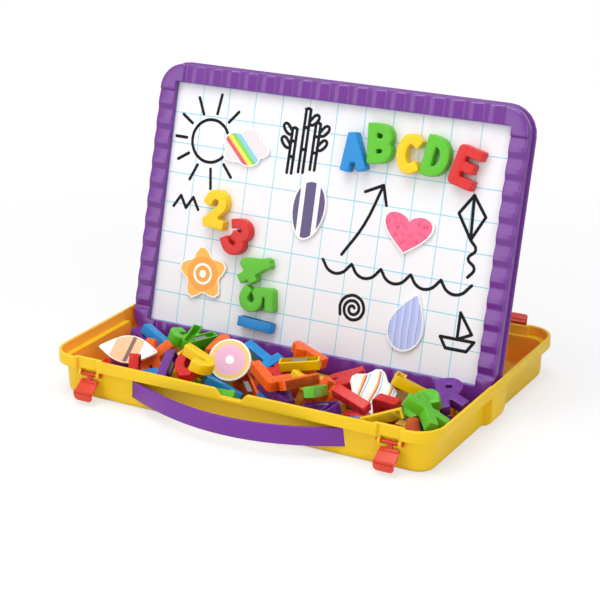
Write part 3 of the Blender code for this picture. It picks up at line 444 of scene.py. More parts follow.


# %% [markdown]
# The tray is one moulding: a floor, thin walls, a rim band that stands out, grooves for the lid
# at both sides, recesses and hooks for the latches, and a finger notch. Its solid has the right
# form, so it only needs its edges rounded. Light that bounces about in a yellow box turns deeper
# and more orange. That bounce light is painted: the faces that look into the tray get a warmer,
# orange copy of the same plastic. Those are the floor, and each face inside the rim whose normal
# points back to the middle.

# %% Tray
RIM_WALL = 1 * MM
FLOOR_TOP = 1 * MM
LEDGE_UNDER = 20 * MM
LOOKS_UP = 0.9
LOOKS_IN = -0.2
bm = softened("tray", 0.3 * MM, segments=2, least_turn=32, shortest=0.9 * MM)
reach = [max(abs(v.co[i]) for v in bm.verts) - RIM_WALL for i in (0, 1)]
# Faces inside the tray take the second material, which paints the bounce light in orange.
for face in bm.faces:
    centre = face.calc_center_median()
    inside = abs(centre.x) < reach[0] and abs(centre.y) < reach[1]
    towards = face.normal.x * centre.x / reach[0] + face.normal.y * centre.y / reach[1]
    tray_floor = face.normal.z > LOOKS_UP and centre.z < LEDGE_UNDER
    if inside and centre.z > FLOOR_TOP and (towards < LOOKS_IN or tray_floor):
        face.material_index = 1
tray = finish_piece("tray_moulding", bm, [tray_plastic, tray_plastic_painted_bounce], "tray", ["tray"],
                    smooth_to=35)
print("tray faces", len(tray.data.polygons))

# %% [markdown]
# The strap handle is a flat band, bowed outwards, whose ends go through slots in the front wall
# and spread inside it. Its long edges are rounded more than the tray's.

# %% Handle
bm = softened("handle_strap", 0.45 * MM, segments=3, shortest=1.5 * MM)
strap = finish_piece("strap_handle", bm, [strap_plastic], "tray", ["handle_strap"], smooth_to=30)
print("strap faces", len(strap.data.polygons))

# %% [markdown]
# Four latches hang on bars under the rim band. Each is one small moulding: bar, neck, plate,
# catch ridge and a bent finger tab.

# %% Latches
latch_nodes = sorted(n for n in nodes if n.startswith("latch_"))
for name in latch_nodes:
    bm = softened(name, 0.22 * MM, segments=2, shortest=0.5 * MM)
    finish_piece(name.replace("latch", "clip"), bm, [latch_plastic], name, [name], smooth_to=30)
print("latches", len(latch_nodes))

# %% [markdown]
# The lid's frame is a ribbed moulding round the board. It is made as a frame maker would make
# it: the section is drawn once and set up as a ring at many places along each side and round each
# corner, and the rings are joined. Here is the section, in reach beyond the board's edge and in
# rise over the board's face. It is a channel, open behind, and its upper corners are arcs.

# %% Section of the lid frame
REACH = 15.1 * MM
CREST = 6 * MM
SHOULDER = 2.6 * MM
INNER_ROUND = 0.8 * MM
FRAME_BACK = 4.3 * MM
FRAME_WALL = 1.8 * MM
LIP = 3.2 * MM
LIP_BACK = 1.9 * MM
FILM_GAP = 0.3 * MM
VALLEY_DEPTH = 2 * MM


def corner_points(centre, radius, start, end, count):
    """Points of an arc, in degrees, for a section."""
    turns = [math.radians(start + (end - start) * i / count) for i in range(count + 1)]
    return [(centre[0] + radius * math.cos(a), centre[1] + radius * math.sin(a)) for a in turns]


section = [(0, FILM_GAP)]
section += corner_points((INNER_ROUND, CREST - INNER_ROUND), INNER_ROUND, 180, 90, 3)
section += corner_points((REACH - SHOULDER, CREST - SHOULDER), SHOULDER, 90, 0, 6)
section += [
    (REACH, -FRAME_BACK), (REACH - FRAME_WALL, -FRAME_BACK),
    (REACH - FRAME_WALL, CREST - VALLEY_DEPTH - FRAME_WALL),
    (LIP + FRAME_WALL, CREST - VALLEY_DEPTH - FRAME_WALL),
    (LIP + FRAME_WALL, -LIP_BACK), (LIP, -LIP_BACK), (LIP, FILM_GAP),
]
print("section points", len(section))

# %% [markdown]
# The ribs are a line of crests and valleys along each side. Each point gives a place along the
# side and how deep the frame is pressed in there. A valley's lowest point lies off its middle,
# and the valleys beside the corners have a steep end. The line is drawn with sharp corners, and
# arcs then take their place. The same function rounds the outlines of the letters later on.

# %% Line of ribs
VALLEY_FLAT = 2.4 * MM
VALLEY_HALF = 6.4 * MM
LEAN_OVER = 1.2 * MM
STEEP = 0.7 * MM
RIB_ROUND = 3 * MM
GENTLE = math.radians(50)
STRAIGHT = math.radians(1)
ARC_SHARE = 0.48
ARC_STEPS = 4
LONG_VALLEYS = 18
SHORT_VALLEYS = 12
LONG_MARGIN = 8.75 * MM
SHORT_MARGIN = 9 * MM


def arc_corners(points, radius, closed=True):
    """A line with an arc in place of each corner; a closed line's gentle bends get wide arcs."""
    line = [] if closed else [points[0]]
    for i in range(0 if closed else 1, len(points) if closed else len(points) - 1):
        corner = points[i]
        before = points[i - 1] - corner
        after = points[(i + 1) % len(points)] - corner
        turn = math.pi - before.angle(after)
        if turn < STRAIGHT:
            line.append(corner)
            continue
        room = ARC_SHARE * min(before.length, after.length)
        reach = room if turn < GENTLE and closed else min(room, radius * math.tan(turn / 2))
        size = reach / math.tan(turn / 2)
        start = corner + before.normalized() * reach
        end = corner + after.normalized() * reach
        inward = (before.normalized() + after.normalized()).normalized()
        centre = corner + inward * math.hypot(reach, size)
        for k in range(ARC_STEPS + 1):
            arm = (start - centre).normalized().slerp((end - centre).normalized(), k / ARC_STEPS)
            line.append(centre + arm * size)
    return line


def rib_line(half_length, margin, valleys):
    """Places along a side and how deep each is pressed in; the lowest point lies off the middle."""
    pitch = 2 * (half_length - margin) / (valleys - 1)
    line = [Vector((-half_length, 0))]
    for i in range(valleys):
        middle = margin - half_length + i * pitch
        lowest = middle + LEAN_OVER
        start = middle - VALLEY_HALF
        if i == 0:
            start = middle - VALLEY_FLAT / 2 - STEEP
            line.append(Vector((start, 0)))
            start += STEEP
        line.append(Vector((start, VALLEY_DEPTH if i == 0 else 0)))
        line.append(Vector((lowest, VALLEY_DEPTH)))
        line.append(Vector((lowest + STEEP if i == valleys - 1 else middle + VALLEY_HALF, 0)))
    line.append(Vector((half_length, 0)))
    return arc_corners(line, RIB_ROUND, closed=False)[1:-1]


long_ribs = rib_line(board_half, LONG_MARGIN, LONG_VALLEYS)
short_ribs = rib_line(board_tall / 2, SHORT_MARGIN, SHORT_VALLEYS)
print("rib points", len(long_ribs), "and", len(short_ribs))

# %% [markdown]
# Now the rings. On a side the section stands straight across. Where the line of ribs dips, only
# the section's upper part is squashed, which keeps the rounded shoulder in every valley. At a
# corner each point of the section turns on a radius of its own, because the board's corner is
# almost sharp and the lid's is wide. The bridge_loops operator joins each ring to the next, and
# the normals are recalculated once the shell is closed.

# %% Ribbed lid frame
OUTER_CORNER = 24 * MM
OUTER_REACH = 17.1 * MM
INNER_CORNER = 1 * MM
SQUASH_FROM = 2.4 * MM
CORNER_STEPS = 10


def corner_radius(reach):
    """Radius of the lid's corner at a reach beyond the board's edge."""
    return INNER_CORNER + (OUTER_CORNER - INNER_CORNER) * max(reach, 0) / OUTER_REACH


def closed_ring(bm, points):
    """A closed ring of edges through some points."""
    row = [bm.verts.new(point) for point in points]
    return [bm.edges.new((row[i], row[(i + 1) % len(row)])) for i in range(len(row))]


def side_ring(bm, turn, place, depth):
    """The section set up across a straight side, its upper part squashed by a depth."""
    out = Vector((round(math.cos(turn)), round(math.sin(turn))))
    along = Vector((abs(out.y), abs(out.x)))
    half = Vector((board_half, board_tall / 2))
    points = []
    remaining = CREST - depth - SQUASH_FROM
    for reach, rise in section:
        if rise > SQUASH_FROM:
            rise = SQUASH_FROM + (rise - SQUASH_FROM) * remaining / (CREST - SQUASH_FROM)
        point = out * (abs(out.dot(half)) + reach) + along * place
        points.append((point.x, point.y + board_tall / 2, rise))
    return closed_ring(bm, points)


def corner_ring(bm, turn, side_x, side_y):
    """The section set up at a corner, turned to an angle; each point has its own radius."""
    points = []
    for reach, rise in section:
        radius = corner_radius(reach)
        x = side_x * (board_half + reach - radius) + radius * math.cos(turn)
        y = side_y * (board_tall / 2 + reach - radius) + board_tall / 2 + radius * math.sin(turn)
        points.append((x, y, rise))
    return closed_ring(bm, points)


def wall(bm, rings):
    """Joins each ring of edges to the next one."""
    for lower, upper in zip(rings, rings[1:]):
        bmesh.ops.bridge_loops(bm, edges=lower + upper)


bm = bmesh.new()
rings = []
for quarter, (side_x, side_y) in enumerate(((1, 1), (-1, 1), (-1, -1), (1, -1))):
    start = quarter * math.pi / 2
    for i in range(CORNER_STEPS + 1):
        rings.append(corner_ring(bm, start + math.pi / 2 * i / CORNER_STEPS, side_x, side_y))
    ribs = short_ribs if quarter % 2 else long_ribs
    for place, depth in (ribs if quarter > 1 else reversed(ribs)):
        rings.append(side_ring(bm, start + math.pi / 2, place, depth))
wall(bm, rings + rings[:1])
bmesh.ops.recalc_face_normals(bm, faces=bm.faces)
bmesh.ops.transform(bm, matrix=board_frame, verts=bm.verts)
lid_frame = finish_piece("ribbed_lid_frame", bm, [lid_plastic], "lid", ["lid_frame"], smooth_to=30)
print("lid frame faces", len(lid_frame.data.polygons))

# %% [markdown]
# Behind the frame a flat panel closes the lid, with the steel sheet and the printed film in
# front of it. Panel and sheet get rounded edges, and the film keeps its thin flat solid.

# %% Back panel, steel and film
bm = softened("lid_back_panel", 0.3 * MM, segments=2, shortest=0.9 * MM)
finish_piece("lid_back", bm, [lid_plastic], "lid", ["lid_back_panel"], smooth_to=35)
bm = softened("steel_sheet", 0.15 * MM, segments=1)
finish_piece("steel_backing", bm, [steel], "lid", ["steel_sheet"])
nodes["board_face"].data.materials[0] = film
print("film is on", nodes["board_face"].name)

# %% [markdown]
# Marker drawings cover the board. They are plain shapes anyone might draw: a sun, stems with
# leaves, waves, an arrow, a kite, a spiral, a zigzag and a boat. Each stroke is a curve with a
# round section and round ends. It is made a mesh, pressed almost flat and laid on the film. The
# ink belongs to the lid, so it stays there when the magnets are taken off.

# %% Pen strokes
PEN = 1.3 * MM
INK_THICK = 0.12 * MM


def pen_strokes(name, strokes, at, size):
    """Open or closed strokes in small units about a place on the board, as one flat ink piece."""
    curve = bpy.data.curves.new(name, "CURVE")
    curve.dimensions = "3D"
    curve.bevel_depth = PEN
    curve.bevel_resolution = 1
    curve.resolution_u = 4
    curve.use_fill_caps = True
    for points, closed in strokes:
        spline = curve.splines.new("BEZIER")
        spline.bezier_points.add(len(points) - 1)
        spline.use_cyclic_u = closed
        for knot, (x, y) in zip(spline.bezier_points, points):
            knot.co = (at[0] + x * size, at[1] + y * size, 0)
            knot.handle_left_type = knot.handle_right_type = "AUTO"
    drawn = put_in_scene(name, curve)
    bpy.context.view_layer.update()
    evaluated = drawn.evaluated_get(bpy.context.evaluated_depsgraph_get())
    bm = bmesh.new()
    bm.from_mesh(bpy.data.meshes.new_from_object(evaluated))
    bpy.data.objects.remove(drawn)
    bmesh.ops.remove_doubles(bm, verts=bm.verts, dist=MERGE)
    for points, closed in strokes:
        for x, y in () if closed else (points[0], points[-1]):
            tip = Matrix.Translation((at[0] + x * size, at[1] + y * size, 0))
            bmesh.ops.create_uvsphere(bm, u_segments=12, v_segments=6, radius=PEN, matrix=tip)
    bmesh.ops.scale(bm, vec=(1, 1, INK_THICK / PEN), verts=bm.verts)
    bmesh.ops.translate(bm, vec=(0, 0, INK_THICK), verts=bm.verts)
    bmesh.ops.recalc_face_normals(bm, faces=bm.faces)
    bmesh.ops.transform(bm, matrix=board_frame, verts=bm.verts)
    finish_piece(name, bm, [ink], "lid")


def round_stroke(radius, turns, count, start=0.0, growth=0.0):
    """Knots of a circle or, with growth, of a spiral."""
    knots = []
    for i in range(count):
        angle = math.radians(start) + 2 * math.pi * turns * i / count
        reach = radius + growth * i / count
        knots.append((reach * math.cos(angle), reach * math.sin(angle)))
    return knots


def straight_strokes(corners):
    """A closed figure of straight strokes."""
    return [([corners[i - 1], corners[i]], False) for i in range(len(corners))]


# %% [markdown]
# Each drawing is written in small units about a place of its own. A smooth stroke has a knot
# wherever the hand would turn, and a figure with sharp corners is made of straight strokes.

# %% Marker drawings
RAYS = 11
FIRST_RAY = 16
RAY_FROM = 1.32
RAY_TO = 2.3
SHORTER_SIDEWAYS = 0.4
sun = [(round_stroke(1.0, 1, 12), True)]
for i in range(RAYS):
    angle = math.radians(FIRST_RAY + 360 / RAYS * i)
    reach = RAY_TO - SHORTER_SIDEWAYS * abs(math.cos(angle))
    sun.append(([(RAY_FROM * math.cos(angle), RAY_FROM * math.sin(angle)),
                 (reach * math.cos(angle), reach * math.sin(angle))], False))
pen_strokes("drawn_sun", sun, (-113 * MM, 155 * MM), 17.5 * MM)

HALF_STEM = 0.32
leaf = [(0, 0), (0.2, 0.7), (1.1, 1.2), (0.9, 0.3)]
stems = []
for x, low, high in ((-1.5, 0.0, 5.6), (0.1, 0.3, 8.2), (1.7, 0.8, 6.6)):
    for side in (-HALF_STEM, HALF_STEM):
        stems.append(([(x + side, low), (x + side + 0.1, high)], False))
    for joint in (0.35, 0.7, 1.0):
        y = low + (high - low) * joint
        stems.append(([(x - 0.28, y), (x + 0.1, y + 0.12), (x + 0.4, y)], False))
for x, y, side in ((-1.9, 3.2, -1), (-1.8, 4.9, -1), (0.6, 6.4, 1), (2.1, 3.4, 1), (2.2, 5.2, 1)):
    stems.append(([(x + side * px, y + py) for px, py in leaf], True))
pen_strokes("drawn_stems", stems, (-27 * MM, 139 * MM), 6.4 * MM)

WAVE = 2.6
scallops = []
for i in range(5):
    start = -6.2 + WAVE * i
    scallop = [(start, 0.5), (start + 0.7, -0.3), (start + 1.7, -0.35), (start + WAVE, 0.5)]
    scallops.append((scallop, False))
pen_strokes("drawn_waves", scallops, (66 * MM, 70 * MM), 10 * MM)

arrow = [([(-2.0, -3.4), (-0.2, -0.5), (1.2, 3.2)], False), ([(-0.5, 2.4), (1.2, 3.2)], False),
         ([(1.2, 3.2), (1.7, 1.5)], False)]
pen_strokes("drawn_arrow", arrow, (38 * MM, 112 * MM), 9 * MM)

kite = [(0, 2.2), (1.3, 0.5), (0.2, -1.6), (-1.2, 0.5)]
tail = [(0.2, -1.6), (0.8, -2.4), (0.2, -3.2), (0.9, -4.0), (0.4, -4.8)]
spine = [([kite[0], kite[2]], False), (tail, False)]
pen_strokes("drawn_kite", straight_strokes(kite) + spine, (126 * MM, 124 * MM), 9 * MM)

spiral = [(round_stroke(0.15, 2.6, 20, start=40, growth=1.0), False)]
pen_strokes("drawn_spiral", spiral, (36 * MM, 40 * MM), 11 * MM)
zigzag = [([(-1.5, -0.6), (-0.75, 0.6)], False), ([(-0.75, 0.6), (0, -0.6)], False),
          ([(0, -0.6), (0.75, 0.6)], False), ([(0.75, 0.6), (1.5, -0.6)], False)]
pen_strokes("drawn_zigzag", zigzag, (-129 * MM, 102 * MM), 8 * MM)
boat = straight_strokes([(-1.3, 0), (1.3, 0), (0.8, -0.75), (-0.8, -0.75)])
boat += straight_strokes([(0, 0), (0, 1.9), (1.05, 0.5)])
pen_strokes("drawn_boat", boat, (128 * MM, 32 * MM), 11 * MM)

# %% [markdown]
# A magnetic letter is a thin shell, open behind, with a small ferrite bar pressed into its back.
# The solids have straight facets and sharp corners. The real mould was cut with round tools, so
# each letter is built again from its solid's own outlines. The outline of the front face and the
# outline of the hollow are read off, their corners are made arcs, and the shell is drawn between
# them, with a round front edge.

# %% Outlines read from a solid
SAME_WAY = 0.999
SAME_LEVEL = 0.1 * MM


def flat_faces(bm, normal, level):
    """The faces that look along a normal at a level."""
    return [f for f in bm.faces if f.normal.dot(normal) > SAME_WAY
            and abs(f.calc_center_median().dot(normal) - level) < SAME_LEVEL]


def outlines(bm, normal, level):
    """Closed outlines of the faces that look along a normal at a level, in the faces' order."""
    flat = flat_faces(bm, normal, level)
    onward = {}
    for face in flat:
        for loop in face.loops:
            if not all(f in flat for f in loop.edge.link_faces):
                onward[loop.vert] = loop.link_loop_next.vert
    found = []
    while onward:
        start, vert = onward.popitem()
        points = [start.co.copy()]
        while vert is not start:
            points.append(vert.co.copy())
            vert = onward.pop(vert)
        found.append(points)
    return found


# %% [markdown]
# The shell itself: rings of points up the outer wall and over the front edge, rings inside the
# hollow, and a fill for the front, for the rear rim and for the hollow's floor. The ferrite bar
# lies along the hollow's longest straight side.

# %% Letter shells
CORNER_ROUND = 1.2 * MM
HOLLOW_ROUND = 0.5 * MM
FRONT_ROUND = 0.75 * MM
FRONT_STEPS = 4
BAR_LONG = 12 * MM
BAR_SHARE = 0.8
BAR_WIDE = 4 * MM
BAR_SUNK = 0.8 * MM
HOLLOW_WIDE = 5.6 * MM


def letter_frame(bm):
    """A frame on a letter's front face, with z out of the face."""
    def shared(face):
        level = face.calc_center_median().dot(face.normal)
        return sum(f.calc_area() for f in flat_faces(bm, face.normal, level))

    front = max(bm.faces, key=shared)
    level = front.calc_center_median().dot(front.normal)
    turned = front.normal.to_track_quat("Z", "Y").to_matrix().to_4x4()
    return Matrix.Translation(front.normal * level) @ turned


def flat_points(points, frame_matrix):
    """Points of a flat outline in a frame's x and y."""
    local = frame_matrix.inverted()
    return [(local @ p).to_2d() for p in points]


def ring(bm, points, inset, height):
    """A closed ring of edges at a height, moved to its left by an inset."""
    moved = []
    for i, point in enumerate(points):
        along = (points[(i + 1) % len(points)] - points[i - 1]).normalized()
        moved.append((*(point + Vector((-along.y, along.x)) * inset), height))
    return closed_ring(bm, moved)


def press_in_bar(bm, corner, side, back, floor):
    """Adds a ferrite bar along a straight side of the hollow, from its floor to below the rim."""
    along = side.normalized()
    middle = corner + side / 2 + Vector((along.y, -along.x)) * (HOLLOW_WIDE / 2)
    long = min(BAR_LONG, side.length * BAR_SHARE)
    place = Matrix.Translation((middle.x, middle.y, (back + BAR_SUNK + floor) / 2))
    place = place @ Matrix.Rotation(math.atan2(along.y, along.x), 4, "Z")
    place = place @ Matrix.Diagonal((long, BAR_WIDE, floor - back - BAR_SUNK, 1))
    bar = bmesh.ops.create_cube(bm, size=1, matrix=place)["verts"]
    for face in {f for v in bar for f in v.link_faces}:
        face.material_index = 1


def moulded_letter(name):
    """A letter's rounded shell with its ferrite bar, in the letter's own flat frame, and that frame."""
    solid = solid_of(name)
    at = letter_frame(solid)
    normal = at.to_3x3().col[2].normalized()
    levels = [f.calc_center_median().dot(normal) for f in solid.faces if f.normal.dot(normal) < -SAME_WAY]
    front = at.translation.dot(normal)
    back = min(levels) - front
    floor = max(levels) - front
    bm = bmesh.new()
    tops = []
    rims = []
    floors = []
    for points in outlines(solid, normal, front):
        line = arc_corners(flat_points(points, at), CORNER_ROUND)
        rings = [ring(bm, line, 0, back)]
        for k in range(FRONT_STEPS + 1):
            angle = math.pi / 2 * k / FRONT_STEPS
            rings.append(ring(bm, line, FRONT_ROUND * (1 - math.cos(angle)),
                              FRONT_ROUND * (math.sin(angle) - 1)))
        wall(bm, rings)
        rims += rings[0]
        tops += rings[-1]
    longest = None
    for points in outlines(solid, -normal, -front - floor):
        corners = flat_points(points, at)
        line = arc_corners(corners, HOLLOW_ROUND)
        rings = [ring(bm, line, 0, back), ring(bm, line, 0, floor)]
        wall(bm, rings)
        rims += rings[0]
        floors += rings[1]
        for i, corner in enumerate(corners):
            side = corners[(i + 1) % len(corners)] - corner
            if longest is None or side.length > longest[1].length:
                longest = (corner, side)
    for edges in (tops, rims, floors):
        bmesh.ops.triangle_fill(bm, edges=edges, use_beauty=True)
    bmesh.ops.recalc_face_normals(bm, faces=bm.faces)
    press_in_bar(bm, *longest, back, floor)
    solid.free()
    return bm, at


# %% [markdown]
# Each letter's node gives way to its rounded shell, in the colour of the record's material slot.
# Two loose letters lie hollow side up and show their ferrite bars, which are nodes of their own.
# The shell holds its bar, so it stands for both nodes.

# %% Letters and their magnets
LETTER_SMOOTH = 35
slot_of = {row["node"]: row["material_slot"] for row in frame["record"]["subparts"]}
letter_nodes = sorted(n for n in nodes if "_letter_" in n)
for name in letter_nodes:
    surface = letter_plastics[slot_of[name].replace("letter_", "")]
    body = "contents" if name.startswith("pile_") else "board_pieces"
    stands_for = [n for n in (name, name.replace("letter", "magnet")) if n in nodes]
    bm, at = moulded_letter(name)
    bmesh.ops.transform(bm, matrix=at, verts=bm.verts)
    finish_piece(name.replace("letter", "glyph"), bm, [surface, ferrite], body, stands_for, LETTER_SMOOTH)
print("letters", len(letter_nodes))

# %% [markdown]
# The flat magnets keep a white border round their print, where the die cuts outside the ink.
# The printed face is the front face, inset by the border's width. Its UV map is laid out in
# radii from its middle.

# %% Flat printed magnets
BORDER = 1.5 * MM
CARD_RADIUS = 17 * MM
X_AXIS = Vector((1, 0, 0))
UP_TO_PLAYER = Vector((0, -0.4, 1)).normalized()
card_nodes = sorted(n for n in nodes if "_card_" in n)
for name in card_nodes:
    bm = solid_of(name)
    ahead = board_out if name.startswith("board_") else UP_TO_PLAYER
    front = max(bm.faces, key=lambda f: f.calc_area() * f.normal.dot(ahead))
    middle = front.calc_center_median()
    normal = front.normal.copy()
    across = (X_AXIS - normal * normal.x).normalized()
    along = normal.cross(across)
    bmesh.ops.inset_individual(bm, faces=[front], thickness=0, depth=0)
    shrink = 1 - BORDER / max((v.co - middle).length for v in front.verts)
    for vert in front.verts:
        vert.co = middle + (vert.co - middle) * shrink
    front.material_index = 1
    layer = bm.loops.layers.uv.new("print")
    for face in bm.faces:
        for loop in face.loops:
            away = loop.vert.co - middle
            loop[layer].uv = (away.dot(across) / CARD_RADIUS, away.dot(along) / CARD_RADIUS)
    body = "board_pieces" if name.startswith("board_") else "contents"
    finish_piece(name.replace("card", "print"), bm, [card_white, prints[name]], body, [name])
print("flat magnets", len(card_nodes))

# %% [markdown]
# The real tray is heaped with many more letters than the solids show, so more of them go into
# the hollows of the heap. First comes their room. The heap slopes down towards the lid and
# towards both ends, and nothing stands in front of a printed magnet.

# %% Room for more letters
HEAP_X = 158 * MM
HEAP_FRONT = -108 * MM
HEAP_REAR = -13 * MM
HEAP_TOP = 49 * MM
LID_SIDE_TOP = 39 * MM
REAR_SLOPE = 0.25
END_TOP = 20 * MM
END_SLOPE = 0.9
CLEAR_SIDE = 1 * MM
CLEAR_FRONT = 24 * MM
CLEAR_SHARE = 0.15


def box_of(points):
    """The lowest and highest corners of some points."""
    return (Vector([min(p[i] for p in points) for i in range(3)]),
            Vector([max(p[i] for p in points) for i in range(3)]))


clear_zones = []
for name in sorted(n for n in nodes if n.startswith("pile_card_")):
    low, high = box_of([v.co for v in nodes[name].data.vertices])
    clear_zones.append((low.x - CLEAR_SIDE, high.x + CLEAR_SIDE + CLEAR_FRONT / 2, low.y - CLEAR_FRONT,
                        (low.y + high.y) / 2, low.z + (high.z - low.z) * CLEAR_SHARE))


def highest_top(low, high):
    """How high a piece may reach where it lies: less by the lid, by the ends and before a print."""
    tops = [HEAP_TOP, LID_SIDE_TOP + REAR_SLOPE * (HEAP_REAR - high.y),
            END_TOP + END_SLOPE * min(low.x + HEAP_X, HEAP_X - high.x)]
    tops += [level for left, right, front, back, level in clear_zones
             if low.x < right and high.x > left and high.y > front and low.y < back]
    return min(tops)


print("zones kept clear", len(clear_zones))

# %% [markdown]
# Each new letter is a copy of one that is there already. It is lifted from the tray's floor
# until it cuts through nothing, which Blender's BVH tree tells quickly. The plain solid, with its
# few faces, is used for that test, and the rounded shell is what shows.

# %% Copies of letters and their lowest place
GAP = 0.3 * MM
STEP = 1 * MM
PILE_MOULDS = 9
FLAT_LETTERS = [n for n in letter_nodes if n.startswith("board_") or int(n.split("_")[2]) <= PILE_MOULDS]


def flat_letter(name):
    """A letter laid face up about the origin: its plain solid and its rounded shell."""
    bm, at = moulded_letter(name)
    plain = solid_of(name)
    bmesh.ops.transform(plain, matrix=at.inverted(), verts=plain.verts)
    low, high = box_of([v.co for v in plain.verts])
    pair = []
    for piece in (plain, bm):
        bmesh.ops.translate(piece, vec=-(low + high) / 2, verts=piece.verts)
        mesh = bpy.data.meshes.new("flat_" + name)
        piece.to_mesh(mesh)
        piece.free()
        pair.append(mesh)
    return pair


heap_corners = []
heap_faces = []


def add_to_heap(mesh, matrix):
    """Adds a mesh to what already lies in the tray."""
    offset = len(heap_corners)
    heap_corners.extend(matrix @ v.co for v in mesh.vertices)
    heap_faces.extend(tuple(i + offset for i in face.vertices) for face in mesh.polygons)


def lowest_place(mesh, matrix, surface):
    """How far to lift a mesh from the floor until it cuts nothing, or None where it gets too high."""
    corners = [matrix @ v.co for v in mesh.vertices]
    faces = [tuple(face.vertices) for face in mesh.polygons]
    low, high = box_of(corners)
    if low.x < -HEAP_X or high.x > HEAP_X or low.y < HEAP_FRONT or high.y > HEAP_REAR:
        return None
    limit = highest_top(low, high)
    lift = FLOOR_TOP + GAP - low.z
    while high.z + lift < limit:
        own = BVHTree.FromPolygons([p + Vector((0, 0, lift)) for p in corners], faces)
        if not own.overlap(surface):
            return lift
        lift += STEP
    return None


for name in [n for n in nodes if n.startswith("pile_")] + ["tray"]:
    add_to_heap(nodes[name].data, Matrix())
moulds = {name: flat_letter(name) for name in FLAT_LETTERS}
print("letters to copy", len(moulds), "faces in the tray", len(heap_faces))

# %% [markdown]
# Now the heap is filled, letter by letter. Each try draws a letter, a turn and a place. Of some
# tries the one that lies lowest is kept, so that the heap fills from below. The random numbers
# have a fixed seed, so each run gives the same heap.

# %% More letters for the heap
SEED = 11
MORE_LETTERS = 90
TRIES = 36
EDGE = 11 * MM
TIPS = ((-30, 30), (-30, 30), (50, 120), (150, 210))
ROLL = 25
COLOUR_STEP = 5
chance = random.Random(SEED)
colours = sorted(letter_plastics)
placed = 0
for number in range(MORE_LETTERS):
    surface = BVHTree.FromPolygons(heap_corners, heap_faces)
    best = None
    for _ in range(TRIES):
        name = chance.choice(FLAT_LETTERS)
        tip = chance.choice([chance.uniform(least, most) for least, most in TIPS])
        turn = Euler((math.radians(tip), math.radians(chance.uniform(-ROLL, ROLL)),
                      math.radians(chance.uniform(0, 360))), "XYZ").to_matrix().to_4x4()
        x = chance.uniform(EDGE - HEAP_X, HEAP_X - EDGE)
        y = chance.uniform(HEAP_FRONT + EDGE, HEAP_REAR - EDGE)
        matrix = Matrix.Translation((x, y, 0)) @ turn
        lift = lowest_place(moulds[name][0], matrix, surface)
        if lift is not None and (best is None or lift < best[0]):
            best = (lift, name, Matrix.Translation((0, 0, lift)) @ matrix)
    if best is None:
        continue
    lift, name, matrix = best
    add_to_heap(moulds[name][0], matrix)
    bm = bmesh.new()
    bm.from_mesh(moulds[name][1])
    bmesh.ops.transform(bm, matrix=matrix, verts=bm.verts)
    colour = colours[(number * COLOUR_STEP + chance.randrange(2)) % len(colours)]
    finish_piece("loose_glyph_%02d" % (number + 1), bm, [letter_plastics[colour], ferrite], "contents",
                 smooth_to=LETTER_SMOOTH)
    placed += 1
print("more letters in the heap", placed, "faces", len(heap_faces))

# %% [markdown]
# The part stands on a plain pale floor. The camera sees it lighter than the lamps make it, by
# Light Path's Is Camera Ray. The share of plain white grows with the distance from the case, so
# that the floor keeps the case's shadow and fades into the white background.

# %% Floor
FLOOR_HALF = 3.0
FADE_FROM = 0.22
FADE_TO = 0.6
WHITE_NEAR = 0.62
floor_mesh = bpy.data.meshes.new("studio_floor")
bm = bmesh.new()
bmesh.ops.create_grid(bm, x_segments=1, y_segments=1, size=FLOOR_HALF)
bm.to_mesh(floor_mesh)
bm.free()
floor = put_in_scene("studio_floor", floor_mesh)
floor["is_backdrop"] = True
pale, tree, shader, place = new_material("pale studio floor")
set_inputs(shader, {"Base Color": linear("F4F4F6"), "Roughness": 0.6})
glow = add_node(tree, "ShaderNodeEmission", {"Color": linear("FFFFFF"), "Strength": 1.0})
rays = add_node(tree, "ShaderNodeLightPath")
distance = add_node(tree, "ShaderNodeVectorMath", {0: place}, operation="LENGTH")
fade = add_node(tree, "ShaderNodeMapRange", {
    "Value": distance.outputs["Value"], "From Min": FADE_FROM, "From Max": FADE_TO,
    "To Min": WHITE_NEAR, "To Max": 1.0})
share = reckon(tree, "MULTIPLY", rays.outputs["Is Camera Ray"], fade.outputs[0])
blend = add_node(tree, "ShaderNodeMixShader", {0: share, 1: shader.outputs[0], 2: glow.outputs[0]})
set_inputs(tree.nodes["Material Output"], {"Surface": blend.outputs[0]})
floor_mesh.materials.append(pale)
print("floor half width in metres", FLOOR_HALF)

# %% [markdown]
# The light is soft and comes from four square lamps. A large one hangs overhead and gives the
# most. A low one in front on the left puts a sheen on the board, a high one on the left lights
# the flanks of the ribs, and a dim one fills the right side. The world adds an even pale light,
# and shows white to the camera and in reflections.

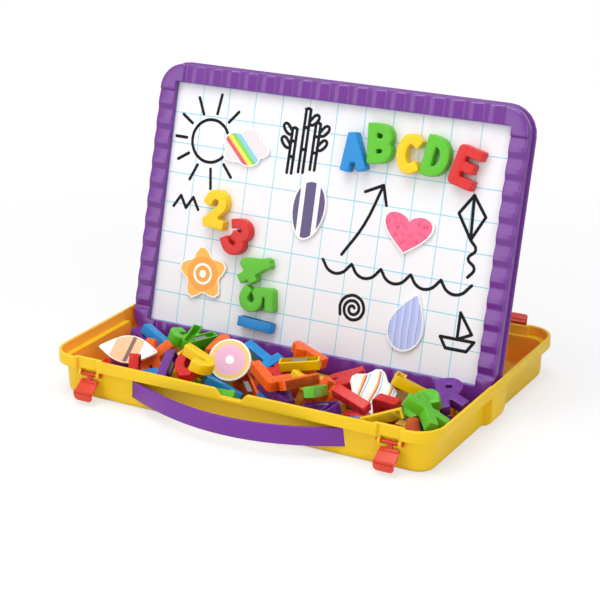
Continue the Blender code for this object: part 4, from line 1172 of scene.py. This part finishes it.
# %% World and lamps
AMBIENT = 0.4
BACKDROP = 1.0
world = bpy.data.worlds.new("pale studio")
bpy.context.scene.world = world
world.use_nodes = True
tree = world.node_tree
rays = add_node(tree, "ShaderNodeLightPath")
seen = rays.outputs["Is Camera Ray"]
for ray in ("Is Glossy Ray", "Is Transmission Ray"):
    seen = reckon(tree, "MAXIMUM", seen, rays.outputs[ray])
strength = add_node(tree, "ShaderNodeMapRange", {"Value": seen, "To Min": AMBIENT, "To Max": BACKDROP})
set_inputs(tree.nodes["Background"], {"Color": linear("FFFFFF"), "Strength": strength.outputs[0]})


def soft_lamp(name, place, target, size, power):
    """A square area lamp, its size in metres and its power in watts, that looks at a target."""
    lamp = bpy.data.lights.new(name, "AREA")
    lamp.size = size
    lamp.energy = power
    holder = put_in_scene(name, lamp)
    holder.location = place
    holder.rotation_euler = (Vector(target) - Vector(place)).to_track_quat("-Z", "Y").to_euler()


soft_lamp("overhead", (-0.05, -0.3, 1.5), (0, 0, 0.05), 1.0, 15)
soft_lamp("board_sheen", (-0.95, -1.75, 0.42), (0, 0, 0.13), 1.0, 6)
soft_lamp("rib_sheen", (-0.76, -1.4, 1.33), (0, 0, 0.13), 0.9, 5.5)
soft_lamp("right_fill", (1.3, -0.9, 0.8), (0, 0, 0.08), 0.9, 6)

# %% [markdown]
# The camera stands to the right of the case, 1.5 m away and a little above it, with a long lens,
# which keeps the case's lines nearly parallel. Its place and turn were worked out from the
# corners of the board, whose squares are 25 mm.

# %% Camera
SENSOR = 36
FOCAL_LENGTH = 109.19
CAMERA_PLACE = (659.3 * MM, -1191.81 * MM, 577.28 * MM)
LOOKS_DOWN = 20.38
ROLLED = 0.13
TURNED_LEFT = 29.13
camera = bpy.data.cameras.new("photo_view")
camera.sensor_width = SENSOR
camera.lens = FOCAL_LENGTH
viewer = put_in_scene("photo_view", camera)
viewer.location = CAMERA_PLACE
viewer.rotation_euler = [math.radians(a) for a in (90 - LOOKS_DOWN, ROLLED, TURNED_LEFT)]
bpy.context.scene.camera = viewer
bpy.context.scene.view_settings.view_transform = "Standard"
print("camera stands", round(viewer.location.length, 2), "m from the case")

# %% [markdown]
# The dressed model's box is worked out from every shown piece but the floor, and its size is printed.

# %% Size of the dressed model
low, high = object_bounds()
print("visual size in mm", [round(c * 1000, 1) for c in high - low])
